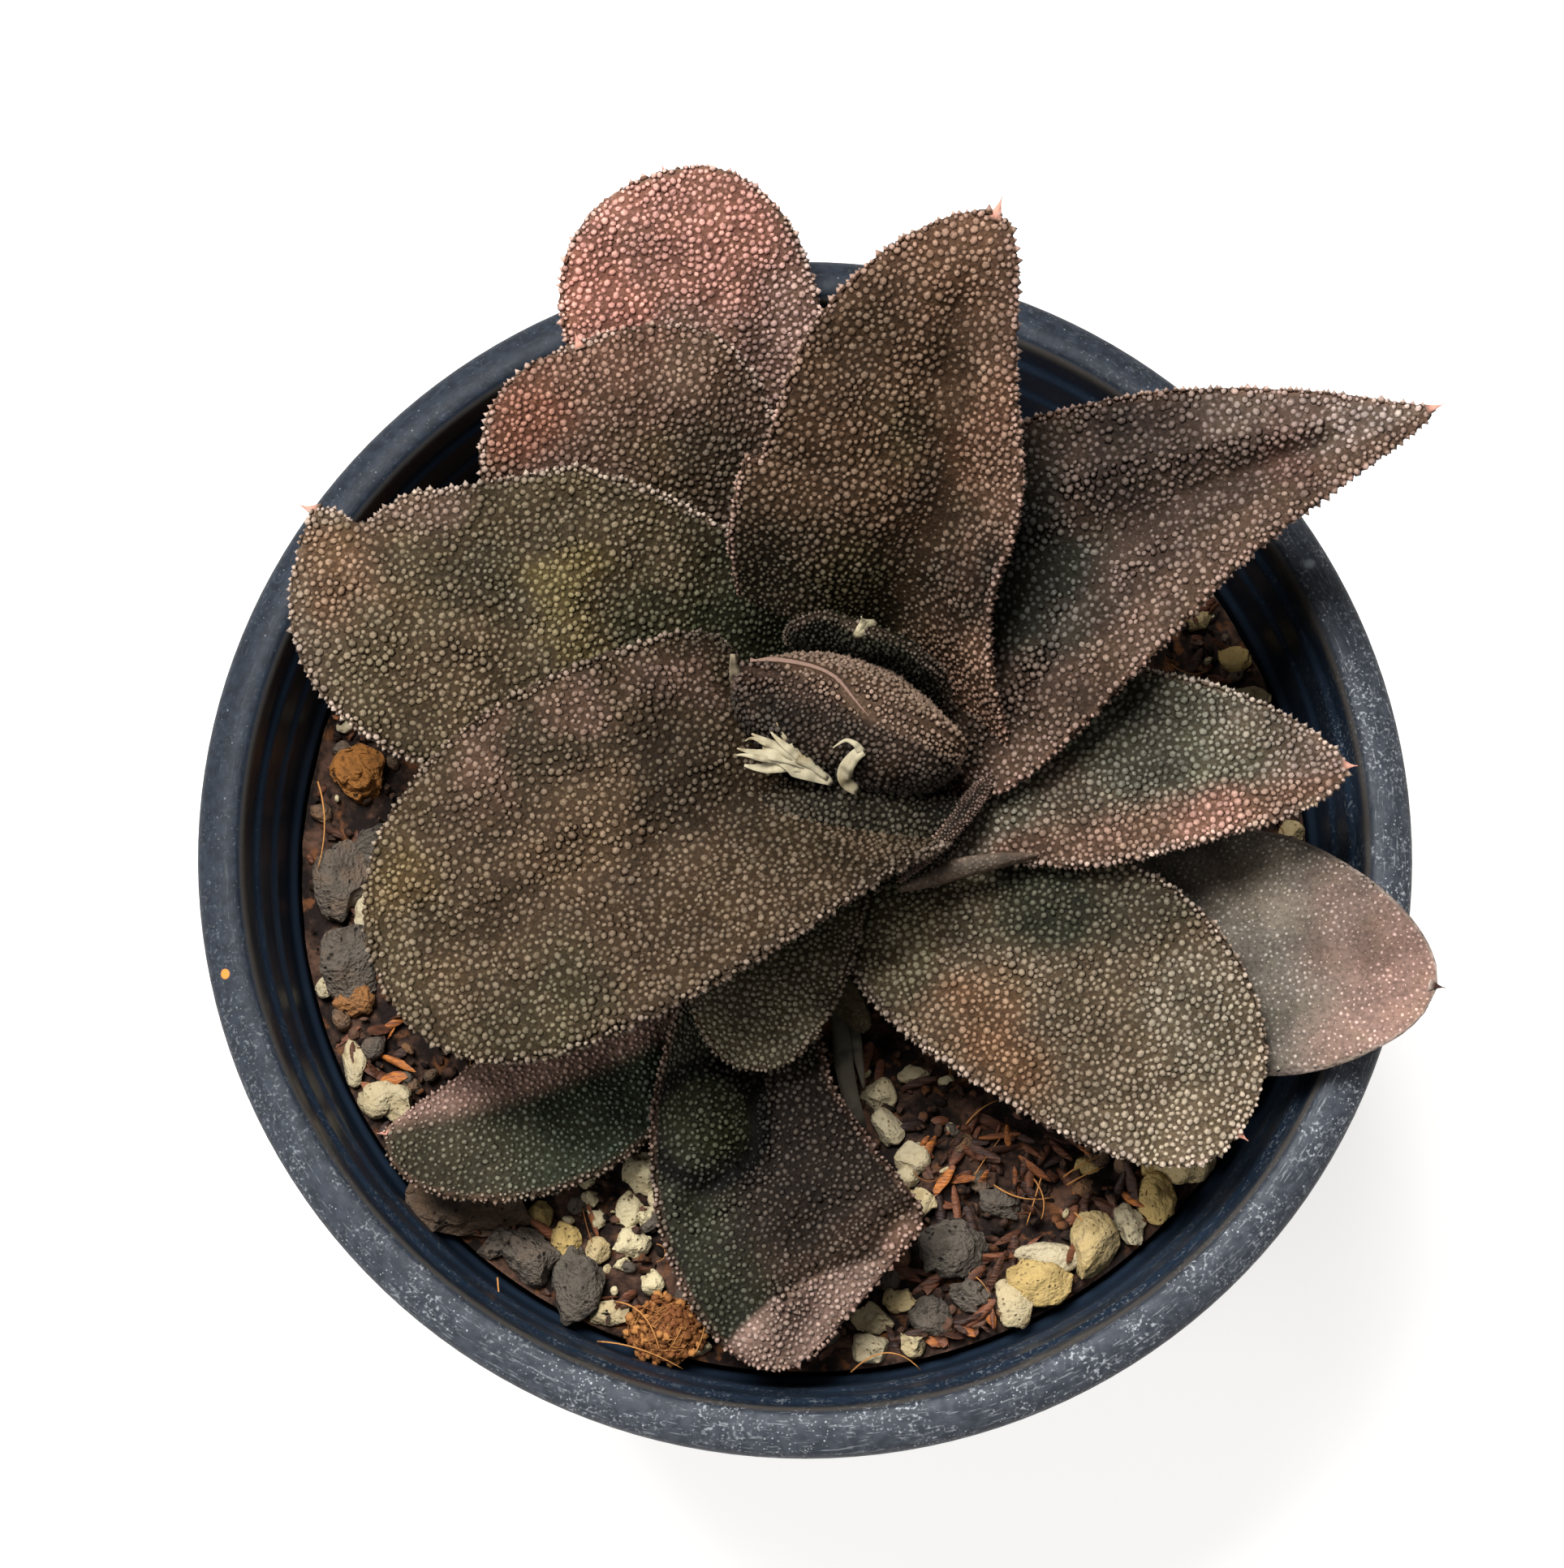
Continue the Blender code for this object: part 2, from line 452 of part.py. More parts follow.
def main():
    for old in list(bpy.data.objects):
        bpy.data.objects.remove(old)
    make_pot()
    make_potting_mix()
    make_stem()
    for name, leaf in LEAVES.items():
        make_leaf(name, leaf)
    for name, flower in DRIED_FLOWERS.items():
        make_dried_flower(name, *flower)


main()
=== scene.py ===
# %% [markdown]
# # A warty gasteria in its nursery pot
# The part is a small succulent: a dozen thick leaves in a spiral, covered in pale warts, in a round black
# plastic pot of gritty mix. The CAD model already gives every piece its place and its size, so this script
# only gives the looks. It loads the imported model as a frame, builds a finer mesh and a finish for each
# piece in the same place, and sets a camera and soft light round it.

import math

import bmesh
import bpy
import numpy as np
from mathutils import Matrix, Vector, noise
from mathutils.bvhtree import BVHTree


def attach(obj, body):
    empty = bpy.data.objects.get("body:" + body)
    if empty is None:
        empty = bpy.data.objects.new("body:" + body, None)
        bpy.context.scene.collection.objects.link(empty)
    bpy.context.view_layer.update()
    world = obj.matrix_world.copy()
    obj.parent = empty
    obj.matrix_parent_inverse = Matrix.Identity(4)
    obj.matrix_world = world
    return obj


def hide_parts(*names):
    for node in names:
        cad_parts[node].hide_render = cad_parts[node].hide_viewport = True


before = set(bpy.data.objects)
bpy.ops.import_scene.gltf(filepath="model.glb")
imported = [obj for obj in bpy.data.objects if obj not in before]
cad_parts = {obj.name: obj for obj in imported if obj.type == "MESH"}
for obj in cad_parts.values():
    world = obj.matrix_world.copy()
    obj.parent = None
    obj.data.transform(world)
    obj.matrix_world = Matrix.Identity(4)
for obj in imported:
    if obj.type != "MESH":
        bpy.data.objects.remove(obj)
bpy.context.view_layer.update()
MM = 0.001
print("nodes in the frame:", len(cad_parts))

# %% [markdown]
# ## Camera
# The picture is taken from almost straight above, with the camera leaning 11 degrees towards the front
# of the pot, so the front wall of the pot just shows. A real camera has a lens and a distance, and the two
# could be traded against each other. The far side of the rim looks about one part in twelve smaller than
# the near side of the tallest leaf would, which fixes the distance at about 300 mm from the rosette.

# %% Place the camera
PHOTO_WIDTH = 1927
SENSOR_WIDTH = 36.0
FOCAL_PIXELS = 4276.0
CAMERA_TILT = math.radians(11)
CAMERA_DISTANCE = 300.0
CAMERA_AIM = Vector((-1.99, 4.68, 80.0))

camera_data = bpy.data.cameras.new("camera")
camera_data.sensor_fit = "HORIZONTAL"
camera_data.sensor_width = SENSOR_WIDTH
camera_data.lens = SENSOR_WIDTH * FOCAL_PIXELS / PHOTO_WIDTH
camera = bpy.data.objects.new("camera", camera_data)
bpy.context.scene.collection.objects.link(camera)
looking = Vector((0, math.sin(CAMERA_TILT), -math.cos(CAMERA_TILT)))
camera.location = (CAMERA_AIM - looking * CAMERA_DISTANCE) * MM
camera.rotation_euler = (CAMERA_TILT, 0, 0)
bpy.context.scene.camera = camera
print("lens in millimetres:", round(camera_data.lens, 2))

# %% [markdown]
# ## Shader helpers
# A finish is a network of nodes. Wiring it by hand takes a line for every node and every link, so one small
# class wraps a socket and lets numbers be added and multiplied with plain operators, and another holds the
# material and makes every other kind of node with a single method.


# %% A socket that can be used in sums
class Value:
    """An output socket of a material. A sum or product with it adds a Math node."""

    def __init__(self, finish, socket):
        self.finish = finish
        self.socket = socket

    def maths(self, operation, *values):
        return self.finish.node("ShaderNodeMath", {"operation": operation}, *values)

    def __add__(self, other):
        return self.maths("ADD", self, other)

    def __sub__(self, other):
        return self.maths("SUBTRACT", self, other)

    def __rsub__(self, other):
        return self.maths("SUBTRACT", other, self)

    def __mul__(self, other):
        return self.maths("MULTIPLY", self, other)

    def __pow__(self, other):
        return self.maths("POWER", self, other)

    __radd__ = __add__
    __rmul__ = __mul__


# %% A material that makes its own nodes
class Finish:
    """A material with a Principled shader, and short ways to feed it."""

    def __init__(self, name, **constants):
        self.material = bpy.data.materials.new(name)
        self.material.use_nodes = True
        self.tree = self.material.node_tree
        self.shader = self.tree.nodes["Principled BSDF"]
        self.place = self.node("ShaderNodeTexCoord", {}, output="Object")
        for socket, value in constants.items():
            self.shader.inputs[socket.replace("_", " ").title().replace("Ior", "IOR")].default_value = value

    def put(self, socket, value):
        """Link a value to a socket, or set the socket to a plain number or colour."""
        if isinstance(value, Value):
            self.tree.links.new(value.socket, socket)
        else:
            socket.default_value = value

    def node(self, kind, settings, *values, output=0, **named):
        """Make a node: its settings first, then its sockets in order or by name, and return one output."""
        made = self.tree.nodes.new(kind)
        for setting, value in settings.items():
            setattr(made, setting, value)
        sockets = list(enumerate(values)) + [(key.replace("_", " "), value) for key, value in named.items()]
        for socket, value in sockets:
            self.put(made.inputs[socket], value)
        return Value(self, made.outputs[output])

    def mix(self, first, second, share, way="MIX"):
        """Mix two colours by a share from 0 to 1. The node's colour sockets are its inputs 6 and 7."""
        made = self.tree.nodes.new("ShaderNodeMix")
        made.data_type = "RGBA"
        made.blend_type = way
        self.put(made.inputs[0], share)
        self.put(made.inputs[6], first)
        self.put(made.inputs[7], second)
        return Value(self, made.outputs[2])

    def noise(self, scale, detail=2.0, place=None, output=0):
        """Smooth noise: scale is in waves a metre."""
        return self.node("ShaderNodeTexNoise", {}, output=output,
                         Vector=place or self.place, Scale=scale, Detail=detail)

    def cells(self, scale):
        """Distance to the nearest of many scattered points: scale is in points a metre."""
        return self.node("ShaderNodeTexVoronoi", {}, output="Distance",
                         Vector=self.place, Scale=scale)

    def step(self, value, low, high):
        """A soft step from 0 at low to 1 at high. Low may be the larger of the two."""
        return self.node("ShaderNodeMapRange", {"interpolation_type": "SMOOTHSTEP"},
                         value, low, high, 0.0, 1.0)

    def attribute(self, name):
        return self.node("ShaderNodeAttribute", {"attribute_name": name}, output="Fac")

    def level(self, place):
        """The same place without its height, as it is seen from above."""
        return self.node("ShaderNodeVectorMath", {"operation": "MULTIPLY"}, place, (1.0, 1.0, 0.0))

    def away(self, place, x, y, z):
        """Distance in metres from a point given in millimetres."""
        return self.node("ShaderNodeVectorMath", {"operation": "DISTANCE"}, place,
                         (x * MM, y * MM, z * MM), output="Value")

    def feed(self, colour, roughness=None, bump=None, strength=0.5, depth=0.0003):
        """Connect what varies over the surface to the shader."""
        self.put(self.shader.inputs["Base Color"], colour)
        if roughness is not None:
            self.put(self.shader.inputs["Roughness"], roughness)
        if bump is not None:
            relief = self.node("ShaderNodeBump", {}, Strength=strength, Distance=depth, Height=bump)
            self.put(self.shader.inputs["Normal"], relief)
        return self.material


BLACK = (0.0, 0.0, 0.0, 1.0)


def rgb(red, green, blue):
    """A colour as it looks on a screen, from 0 to 255, turned into the light it stands for."""
    parts = [part / 255 for part in (red, green, blue)]
    return (*[part / 12.92 if part <= 0.04045 else ((part + 0.055) / 1.055) ** 2.4 for part in parts], 1.0)


print("a screen's middle grey holds this share of white's light:", round(rgb(128, 128, 128)[0], 3))

# %% [markdown]
# ## Floor and light
# The pot stands on a plain white sheet in soft daylight, and the sheet comes out almost pure white, with a
# faint shadow towards the front right. One large lamp could do it, but the leaves would then throw dark
# shadows into the pot. So a soft world lights every side, a large lamp high behind the pot gives the
# direction that models the warts, and a weaker one fills in from the left. The sheet gives off a little
# light of its own, which stands in for a longer exposure.

# %% Lay the floor
FLOOR_SIZE = 3.0
FLOOR_DROP = 0.0002

floor_mesh = bmesh.new()
bmesh.ops.create_grid(floor_mesh, x_segments=1, y_segments=1, size=FLOOR_SIZE / 2)
bmesh.ops.translate(floor_mesh, verts=floor_mesh.verts, vec=(0, 0, -FLOOR_DROP))
floor_data = bpy.data.meshes.new("floor")
floor_mesh.to_mesh(floor_data)
floor_mesh.free()
floor = bpy.data.objects.new("floor", floor_data)
bpy.context.scene.collection.objects.link(floor)
paper = Finish("floor_paper", roughness=0.9, emission_strength=0.70)
paper.shader.inputs["Emission Color"].default_value = (1.0, 0.985, 0.965, 1)
floor_data.materials.append(paper.feed(colour=(0.46, 0.455, 0.45, 1)))
print("side of the floor in metres:", FLOOR_SIZE)

# %% Light the scene
WORLD_STRENGTH = 0.30
LAMPS_AIM = Vector((0, 0, 0.08))
LAMPS = {
    "overhead_lamp": dict(place=(-0.16, 0.24, 0.72), size=0.30, power=11.0),
    "side_lamp": dict(place=(-0.60, -0.20, 0.50), size=0.35, power=3.0),
}

world = bpy.data.worlds.new("soft_daylight")
world.use_nodes = True
world.node_tree.nodes["Background"].inputs["Color"].default_value = (1.0, 0.99, 0.98, 1)
world.node_tree.nodes["Background"].inputs["Strength"].default_value = WORLD_STRENGTH
bpy.context.scene.world = world
bpy.context.scene.view_settings.view_transform = "Standard"
for name, lamp in LAMPS.items():
    lamp_data = bpy.data.lights.new(name, "AREA")
    lamp_data.size = lamp["size"]
    lamp_data.energy = lamp["power"]
    lamp_object = bpy.data.objects.new(name, lamp_data)
    lamp_object.location = lamp["place"]
    towards = LAMPS_AIM - lamp_object.location
    lamp_object.rotation_euler = towards.to_track_quat("-Z", "Y").to_euler()
    bpy.context.scene.collection.objects.link(lamp_object)
print("lamps:", len(LAMPS))

# %% [markdown]
# ## From shapes to pieces
# Thousands of warts and grains repeat a few small shapes. Each shape is made once with bmesh operators, and
# then copied by array arithmetic, because adding thousands of copies one at a time would take minutes. A
# shape is kept as its points and its triangles, in millimetres, and becomes metres when its piece is made.


# %% Shapes as points and triangles
def shape_of(bm):
    """The points and triangles of a bmesh, which is freed."""
    bmesh.ops.triangulate(bm, faces=bm.faces)
    bm.verts.index_update()
    points = np.array([vert.co[:] for vert in bm.verts])
    triangles = np.array([[vert.index for vert in face.verts] for face in bm.faces])
    bm.free()
    return points, triangles


def copies(shape, turns, places):
    """Copies of a shape, each turned and stretched by a 3 by 3 matrix and moved to its place."""
    points, triangles = shape
    moved = np.einsum("nij,kj->nki", turns, points) + places[:, None, :]
    faces = triangles[None] + (np.arange(len(places)) * len(points))[:, None, None]
    return moved.reshape(-1, 3), faces.reshape(-1, 3)


def together(shapes):
    """One shape made of several."""
    starts = np.cumsum([0] + [len(points) for points, _ in shapes[:-1]])
    points = np.concatenate([points for points, _ in shapes])
    triangles = np.concatenate([faces + start for (_, faces), start in zip(shapes, starts)])
    return points, triangles


def rotations(rng, count):
    """Random turns, every direction alike."""
    quats = rng.normal(size=(count, 4))
    w, x, y, z = (quats / np.linalg.norm(quats, axis=1)[:, None]).T
    rows = [[1 - 2 * (y * y + z * z), 2 * (x * y - w * z), 2 * (x * z + w * y)],
            [2 * (x * y + w * z), 1 - 2 * (x * x + z * z), 2 * (y * z - w * x)],
            [2 * (x * z - w * y), 2 * (y * z + w * x), 1 - 2 * (x * x + y * y)]]
    return np.array(rows).transpose(2, 0, 1)


# %% A shape becomes a piece of the part
def show(name, shape, material, slot, *nodes, values=None, sharp=None):
    """Turn a shape in millimetres into a piece in metres that stands for CAD nodes, with its values."""
    points, triangles = shape
    mesh = bpy.data.meshes.new(name)
    mesh.from_pydata(points * MM, [], triangles.tolist())
    mesh.shade_smooth()
    if sharp:
        mesh.set_sharp_from_angle(angle=math.radians(sharp))
    for value_name, numbers in (values or {}).items():
        layer = mesh.attributes.new(value_name, "FLOAT", "POINT")
        layer.data.foreach_set("value", np.asarray(numbers, np.float32))
    mesh.materials.append(material)
    piece = bpy.data.objects.new(name, mesh)
    bpy.context.scene.collection.objects.link(piece)
    if nodes:
        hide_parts(*nodes)
    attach(piece, "root")
    print(name, "triangles:", len(triangles))


# %% [markdown]
# ## The pot: form
# A nursery pot is moulded in one piece, so every wall is a turned shape with the same thin section. It
# could be a cylinder with a bevel, but the real section has a rolled rim with a hanging skirt, stacking
# steps inside and a ledge, and the light catches each of them. So the section is drawn once, its corners
# are eased, and it is spun about the pot's axis. The drain holes are cut with a Boolean.

# %% The section of the pot
RIM_RADIUS = 52.6
RIM_HEIGHT = 80.5
RIM_INNER_RADIUS = 48.4
SKIRT_DEPTH = 10.0
FOOT_RADIUS = 37.0
WALL = 1.2
FLOOR_HEIGHT = 1.6
LEDGE_HEIGHT = 64.0
LEDGE_RADIUS = 45.5
POT_STEPS = [(48.1, 76.8), (47.5, 76.2), (47.1, 72.6), (46.6, 72.0), (46.2, 67.4), (LEDGE_RADIUS, 66.8)]
POT_SIDES = 160
CORNER_REACH = 0.45
DRAIN_HOLES = 6
DRAIN_HOLE_RADIUS = 3.2
DRAIN_HOLE_SIDES = 40
DRAIN_RING_RADIUS = 27.0


def eased(line, reach):
    """The same line of points with every corner rounded off, from at most this far before it."""
    line = [Vector(point) for point in line]
    made = [line[0]]
    for before, corner, after in zip(line, line[1:], line[2:]):
        start = corner.lerp(before, min(0.4, reach / (before - corner).length))
        end = corner.lerp(after, min(0.4, reach / (after - corner).length))
        for turn in (0.0, 0.33, 0.67, 1.0):
            made.append(start.lerp(corner, turn).lerp(corner.lerp(end, turn), turn))
    return made + [line[-1]]


def turned(section, sides, centre=(0.0, 0.0)):
    """Spin a section of (radius, height) points about an upright axis into a closed mesh."""
    bm = bmesh.new()
    x, y = centre
    points = [bm.verts.new((x + point[0], y, point[1])) for point in section]
    edges = [bm.edges.new(pair) for pair in zip(points, points[1:])]
    bmesh.ops.spin(bm, geom=points + edges, cent=(x, y, 0), axis=(0, 0, 1), angle=math.tau,
                   steps=sides, use_merge=True)
    bmesh.ops.remove_doubles(bm, verts=bm.verts, dist=0.0005)
    bmesh.ops.recalc_face_normals(bm, faces=bm.faces)
    return bm


def inner_radius(height):
    """Radius of the inside of the pot below its ledge."""
    lower = FOOT_RADIUS - WALL
    return lower + (LEDGE_RADIUS - lower) * height / LEDGE_HEIGHT


def pot_section():
    """The line round the wall of the pot, from the middle of its foot to the middle of its floor."""
    ledge_outer = LEDGE_RADIUS + WALL
    skirt_foot = RIM_HEIGHT - SKIRT_DEPTH
    outside = [(0.0, 0.0), (FOOT_RADIUS - 2.0, 0.0), (FOOT_RADIUS - 0.4, 0.7), (FOOT_RADIUS + 0.2, 2.4),
               (ledge_outer, LEDGE_HEIGHT), (ledge_outer + 1.0, skirt_foot),
               (RIM_INNER_RADIUS + 1.0, RIM_HEIGHT - 2.6)]
    skirt = [(RIM_RADIUS - 1.5, RIM_HEIGHT - 2.8), (RIM_RADIUS - 1.4, skirt_foot),
             (RIM_RADIUS - 0.2, skirt_foot), (RIM_RADIUS, RIM_HEIGHT - 1.9),
             (RIM_RADIUS - 0.4, RIM_HEIGHT - 1.1), (RIM_RADIUS - 1.5, RIM_HEIGHT - 0.3),
             (RIM_RADIUS - 2.7, RIM_HEIGHT), (RIM_INNER_RADIUS + 0.5, RIM_HEIGHT - 0.2),
             (RIM_INNER_RADIUS, RIM_HEIGHT - 0.8)]
    floor_line = [(LEDGE_RADIUS, LEDGE_HEIGHT), (inner_radius(3.0), 3.0), (FOOT_RADIUS - 3.0, FLOOR_HEIGHT),
                  (0.0, FLOOR_HEIGHT)]
    return outside + skirt + POT_STEPS + floor_line


print("corners in the pot's section:", len(pot_section()))

# %% [markdown]
# ## The pot: finish
# The plastic is almost black with a cold blue cast. Its rim is dull and scuffed, and hard water has left a
# white crust of fine specks on it, thickest towards the front right. There the rim is also painted paler,
# partly for its wear and partly as painted light. Inside, the wall is smooth, and it is painted lighter and
# bluer than outside, as painted light. All of this could be painted on, but it follows the place on the pot,
# so it is worked out from the radius and the height of each point. The wall leans, so what parts its inside
# from its outside is the radius less a share of the height.

# %% The plastic of the pot
# Radius of the middle of the wall at its foot, how fast it grows with height, and how soft the change is,
# then the line across the pot, from the back left, where wear and painted light begin and where they are full
WALL_MIDDLE = 36.65
WALL_SLOPE = 0.1525
WALL_SOFT = 0.2
WEAR_AND_LIGHT_BEGINS = -35
WEAR_AND_LIGHT_FULL = 45


def pot_plastic(finish, radius, z, worn, haze, on_rim):
    """The colour of the clean plastic: outer wall, an inner wall painted lighter as painted light, and a rim
    that pales where it is worn and where painted light falls.
    """
    inside = finish.step(radius - z * WALL_SLOPE,
                         (WALL_MIDDLE + WALL_SOFT) * MM, (WALL_MIDDLE - WALL_SOFT) * MM)
    outer_wall = finish.mix(rgb(6, 10, 18), rgb(17, 21, 28), haze)
    # The inner wall is painted lighter and bluer than the outer wall: painted light.
    lit_inner_wall = finish.mix(rgb(17, 26, 37), rgb(30, 40, 53), haze)
    dull = finish.step(finish.noise(1100, 6), 0.35, 0.65)
    fresh_rim = finish.mix(rgb(20, 25, 33), rgb(30, 36, 45), dull)
    # The rim towards the front right is paler, partly for wear and partly as painted light.
    worn_and_lit_rim = finish.mix(rgb(46, 50, 57), rgb(60, 64, 71), dull)
    wall = finish.mix(outer_wall, lit_inner_wall, inside)
    return finish.mix(wall, finish.mix(fresh_rim, worn_and_lit_rim, worn), on_rim)


print("middle of the wall under the skirt, in mm:", round(WALL_MIDDLE + WALL_SLOPE * LEDGE_HEIGHT, 1))

# %% Limescale and small marks on the pot
SCALE_WHITE = rgb(172, 177, 180)
# A thin brown line on the inner lip: a painted highlight.
LIP_HIGHLIGHT = rgb(74, 68, 60)
# A grain of orange grit on the rim, and a worn ring: the middle of each
GRIT_PLACE = (-49.6, -11.9, 80.2)
RING_PLACE = (43.9, 24.1, 79.2)


def limescale(finish, x, y, z, radius, worn):
    """How white hard water has left each place: crust, fine scratches round the rim, specks and dots."""
    turn = y.maths("ARCTAN2", y, x)
    rolled_out = finish.node("ShaderNodeCombineXYZ", {}, radius, turn * 0.006, z)
    scratches = finish.step(finish.noise(5600, 4, place=rolled_out), 0.58, 0.70)
    crust = finish.step(finish.noise(2900, 7), 0.53, 0.68) * finish.step(finish.noise(260, 4), 0.40, 0.64)
    specks = finish.step(finish.cells(2300), 0.22, 0.11) * finish.step(finish.noise(240, 2), 0.40, 0.60)
    dots = finish.step(finish.cells(640), 0.075, 0.045)
    return (crust * (0.04 + worn * 0.62) + scratches * (0.03 + worn * 0.24)
            + specks * (0.10 + worn * 0.55) + dots * (0.2 + worn * 0.4))


def pot_marks(finish, colour, radius, z):
    """The colour with a painted highlight on the inner lip, one grain of grit and one worn ring."""
    lip = finish.step(radius, 48.9 * MM, 48.55 * MM) * finish.step(z, 78.6 * MM, 79.6 * MM)
    # Painted highlight along the inner lip.
    colour = finish.mix(colour, LIP_HIGHLIGHT, lip * 0.6)
    grit = finish.step(finish.away(finish.place, *GRIT_PLACE), 0.5 * MM, 0.35 * MM)
    colour = finish.mix(colour, rgb(190, 120, 52), grit)
    off = finish.away(finish.place, *RING_PLACE)
    ring = finish.step(off, 1.35 * MM, 1.2 * MM) * finish.step(off, 0.9 * MM, 1.05 * MM)
    return finish.mix(colour, rgb(120, 126, 130), ring * 0.8)


# %% The finish of the pot
def pot_finish():
    """Black plastic with scuffs, limescale and dust, by radius and height."""
    finish = Finish("pot_plastic", specular_ior_level=0.16)
    apart = finish.tree.nodes.new("ShaderNodeSeparateXYZ")
    finish.put(apart.inputs[0], finish.place)
    x, y, z = [Value(finish, socket) for socket in apart.outputs]
    radius = (x * x + y * y) ** 0.5
    on_rim = finish.step(radius, 48.6 * MM, 49.2 * MM) * finish.step(z, 77.5 * MM, 79.5 * MM)
    # This mask is wear and painted light together: towards the front right the rim is painted paler and the
    # limescale is thicker.
    worn = finish.step(x * 0.55 - y * 0.85, WEAR_AND_LIGHT_BEGINS * MM, WEAR_AND_LIGHT_FULL * MM)
    haze = finish.noise(160, 4)
    colour = pot_plastic(finish, radius, z, worn, haze, on_rim)
    scale = limescale(finish, x, y, z, radius, worn)
    upper = finish.step(z, 66 * MM, 80 * MM)
    colour = finish.mix(colour, SCALE_WHITE, scale * upper * (0.35 + on_rim * 0.65))
    colour = pot_marks(finish, colour, radius, z)
    return finish.feed(colour, roughness=0.30 + on_rim * 0.24 + scale * 0.3 + haze * 0.1,
                       bump=finish.noise(1400, 3) + scale, strength=0.3, depth=0.0001)


POT_FINISH = pot_finish()
print("nodes in the finish of the pot:", len(POT_FINISH.node_tree.nodes))

# %% Turn the pot and drill it
def build_pot():
    """Spin the section, cut the drain holes, and show the pot."""
    bm = turned(eased(pot_section(), CORNER_REACH), POT_SIDES)
    bmesh.ops.scale(bm, vec=(MM, MM, MM), verts=bm.verts)
    mesh = bpy.data.meshes.new("pot_shell")
    bm.to_mesh(mesh)
    bm.free()
    pot = bpy.data.objects.new("pot_shell", mesh)
    bpy.context.scene.collection.objects.link(pot)
    drills = bmesh.new()
    for number in range(DRAIN_HOLES):
        turn = Matrix.Rotation(math.tau * (number + 0.5) / DRAIN_HOLES, 4, "Z")
        shift = Matrix.Translation((DRAIN_RING_RADIUS * MM, 0, 0))
        bmesh.ops.create_cone(drills, cap_ends=True, segments=DRAIN_HOLE_SIDES,
                              radius1=DRAIN_HOLE_RADIUS * MM, radius2=DRAIN_HOLE_RADIUS * MM,
                              depth=5 * FLOOR_HEIGHT * MM, matrix=turn @ shift)
    drill_mesh = bpy.data.meshes.new("drills")
    drills.to_mesh(drill_mesh)
    drills.free()
    drill = bpy.data.objects.new("drills", drill_mesh)
    bpy.context.scene.collection.objects.link(drill)
    cut = pot.modifiers.new("drain", "BOOLEAN")
    cut.object = drill
    cut.solver = "EXACT"
    bpy.context.view_layer.update()
    solved = pot.evaluated_get(bpy.context.evaluated_depsgraph_get())
    cut_mesh = bpy.data.meshes.new_from_object(solved)
    bpy.data.objects.remove(drill)
    bpy.data.objects.remove(pot)
    bm = bmesh.new()
    bm.from_mesh(cut_mesh)
    bmesh.ops.scale(bm, vec=(1 / MM, 1 / MM, 1 / MM), verts=bm.verts)
    show("pot_shell", shape_of(bm), POT_FINISH, "pot", "pot", sharp=35)


build_pot()

# %% [markdown]
# ## The mix: stones
# The mix is what a grower calls gritty: rounded yellow pumice, white perlite, dark lava with pits, orange
# bark chips, a ball of coir and a few loose fibres. Every stone that shows is placed where it lies. A stone
# could be a rock texture on a ball, but its outline is what the eye reads, so a ball is flattened by a few
# random cuts, as if it had broken, and then roughened.

# %% Stones, each with its place, length, width, and a tint from pale to strong
PUMICE = [
    (34.7, -27.6, 6.2, 5.1, 0.55), (26.4, -36.1, 5.1, 6.2, 0.6), (21.4, -38.9, 6.2, 4.5, 0.85),
    (18.8, -40.6, 3.3, 4.4, 0.35), (21.1, -35.4, 6.2, 3.0, 0.0), (28.3, -32.2, 3.3, 2.9, 0.0),
    (32.5, -31.9, 3.3, 5.1, 1.0), (29.6, -34.3, 2.2, 3.3, 0.15), (9.8, -30.5, 3.6, 2.9, 0.5),
    (8.4, -38.9, 3.3, 2.5, 0.6), (5.9, -40.6, 4.0, 2.5, 0.3), (5.9, -44.8, 3.3, 2.8, 0.1),
    (9.7, -44.1, 2.9, 2.5, 0.45), (7.4, -23.7, 2.9, 3.6, 0.15), (6.7, -20.9, 3.3, 3.3, 0.2),
    (9.9, -19.1, 3.3, 1.8, 0.3), (9.5, -26.6, 3.3, 2.9, 0.25), (9.1, -28.3, 2.2, 2.2, 0.3),
    (-23.2, -31.5, 2.2, 2.8, 0.95), (-21.0, -33.6, 2.9, 3.6, 1.0), (-18.2, -34.7, 2.3, 2.3, 0.55),
    (-17.4, -41.3, 3.8, 2.5, 0.35), (-41.2, -18.7, 2.3, 4.5, 0.2), (-39.0, -22.3, 4.0, 3.6, 0.35),
    (-35.8, -21.6, 4.0, 3.6, 0.3), (-43.9, -11.7, 1.7, 2.0, 0.1), (-39.0, -5.3, 2.8, 5.8, 0.1),
    (-41.3, 12.7, 2.2, 1.6, 0.1), (40.8, 15.4, 3.5, 2.6, 0.3), (44.5, 2.7, 2.9, 2.2, 0.6),
    (39.5, -21.9, 3.6, 5.1, 0.7), (39.5, 19.1, 3.3, 2.9, 1.0), (35.9, 22.9, 2.6, 2.9, 0.6),
    (24.6, -27.4, 2.2, 1.8, 0.9), (30.6, -27.0, 2.4, 3.0, 1.0), (-10.0, -45.0, 3.0, 1.6, 0.3),
]
PERLITE = [
    (-14.3, -28.0, 3.6, 4.0, 0.1), (-15.4, -31.2, 2.5, 2.9, 0.1), (-13.9, -31.9, 2.2, 2.2, 0.0),
    (-15.1, -34.0, 3.3, 2.9, 0.0), (-18.6, -30.1, 1.7, 1.7, 0.1), (-18.3, -31.9, 1.6, 1.9, 0.0),
    (-13.3, -37.5, 2.2, 2.2, 0.1), (-16.0, -35.7, 1.6, 1.6, 0.0), (-12.9, -29.9, 2.0, 2.4, 0.1),
    (-19.2, -28.6, 1.5, 1.5, 0.1), (12.6, -19.6, 1.6, 1.0, 0.0),
]
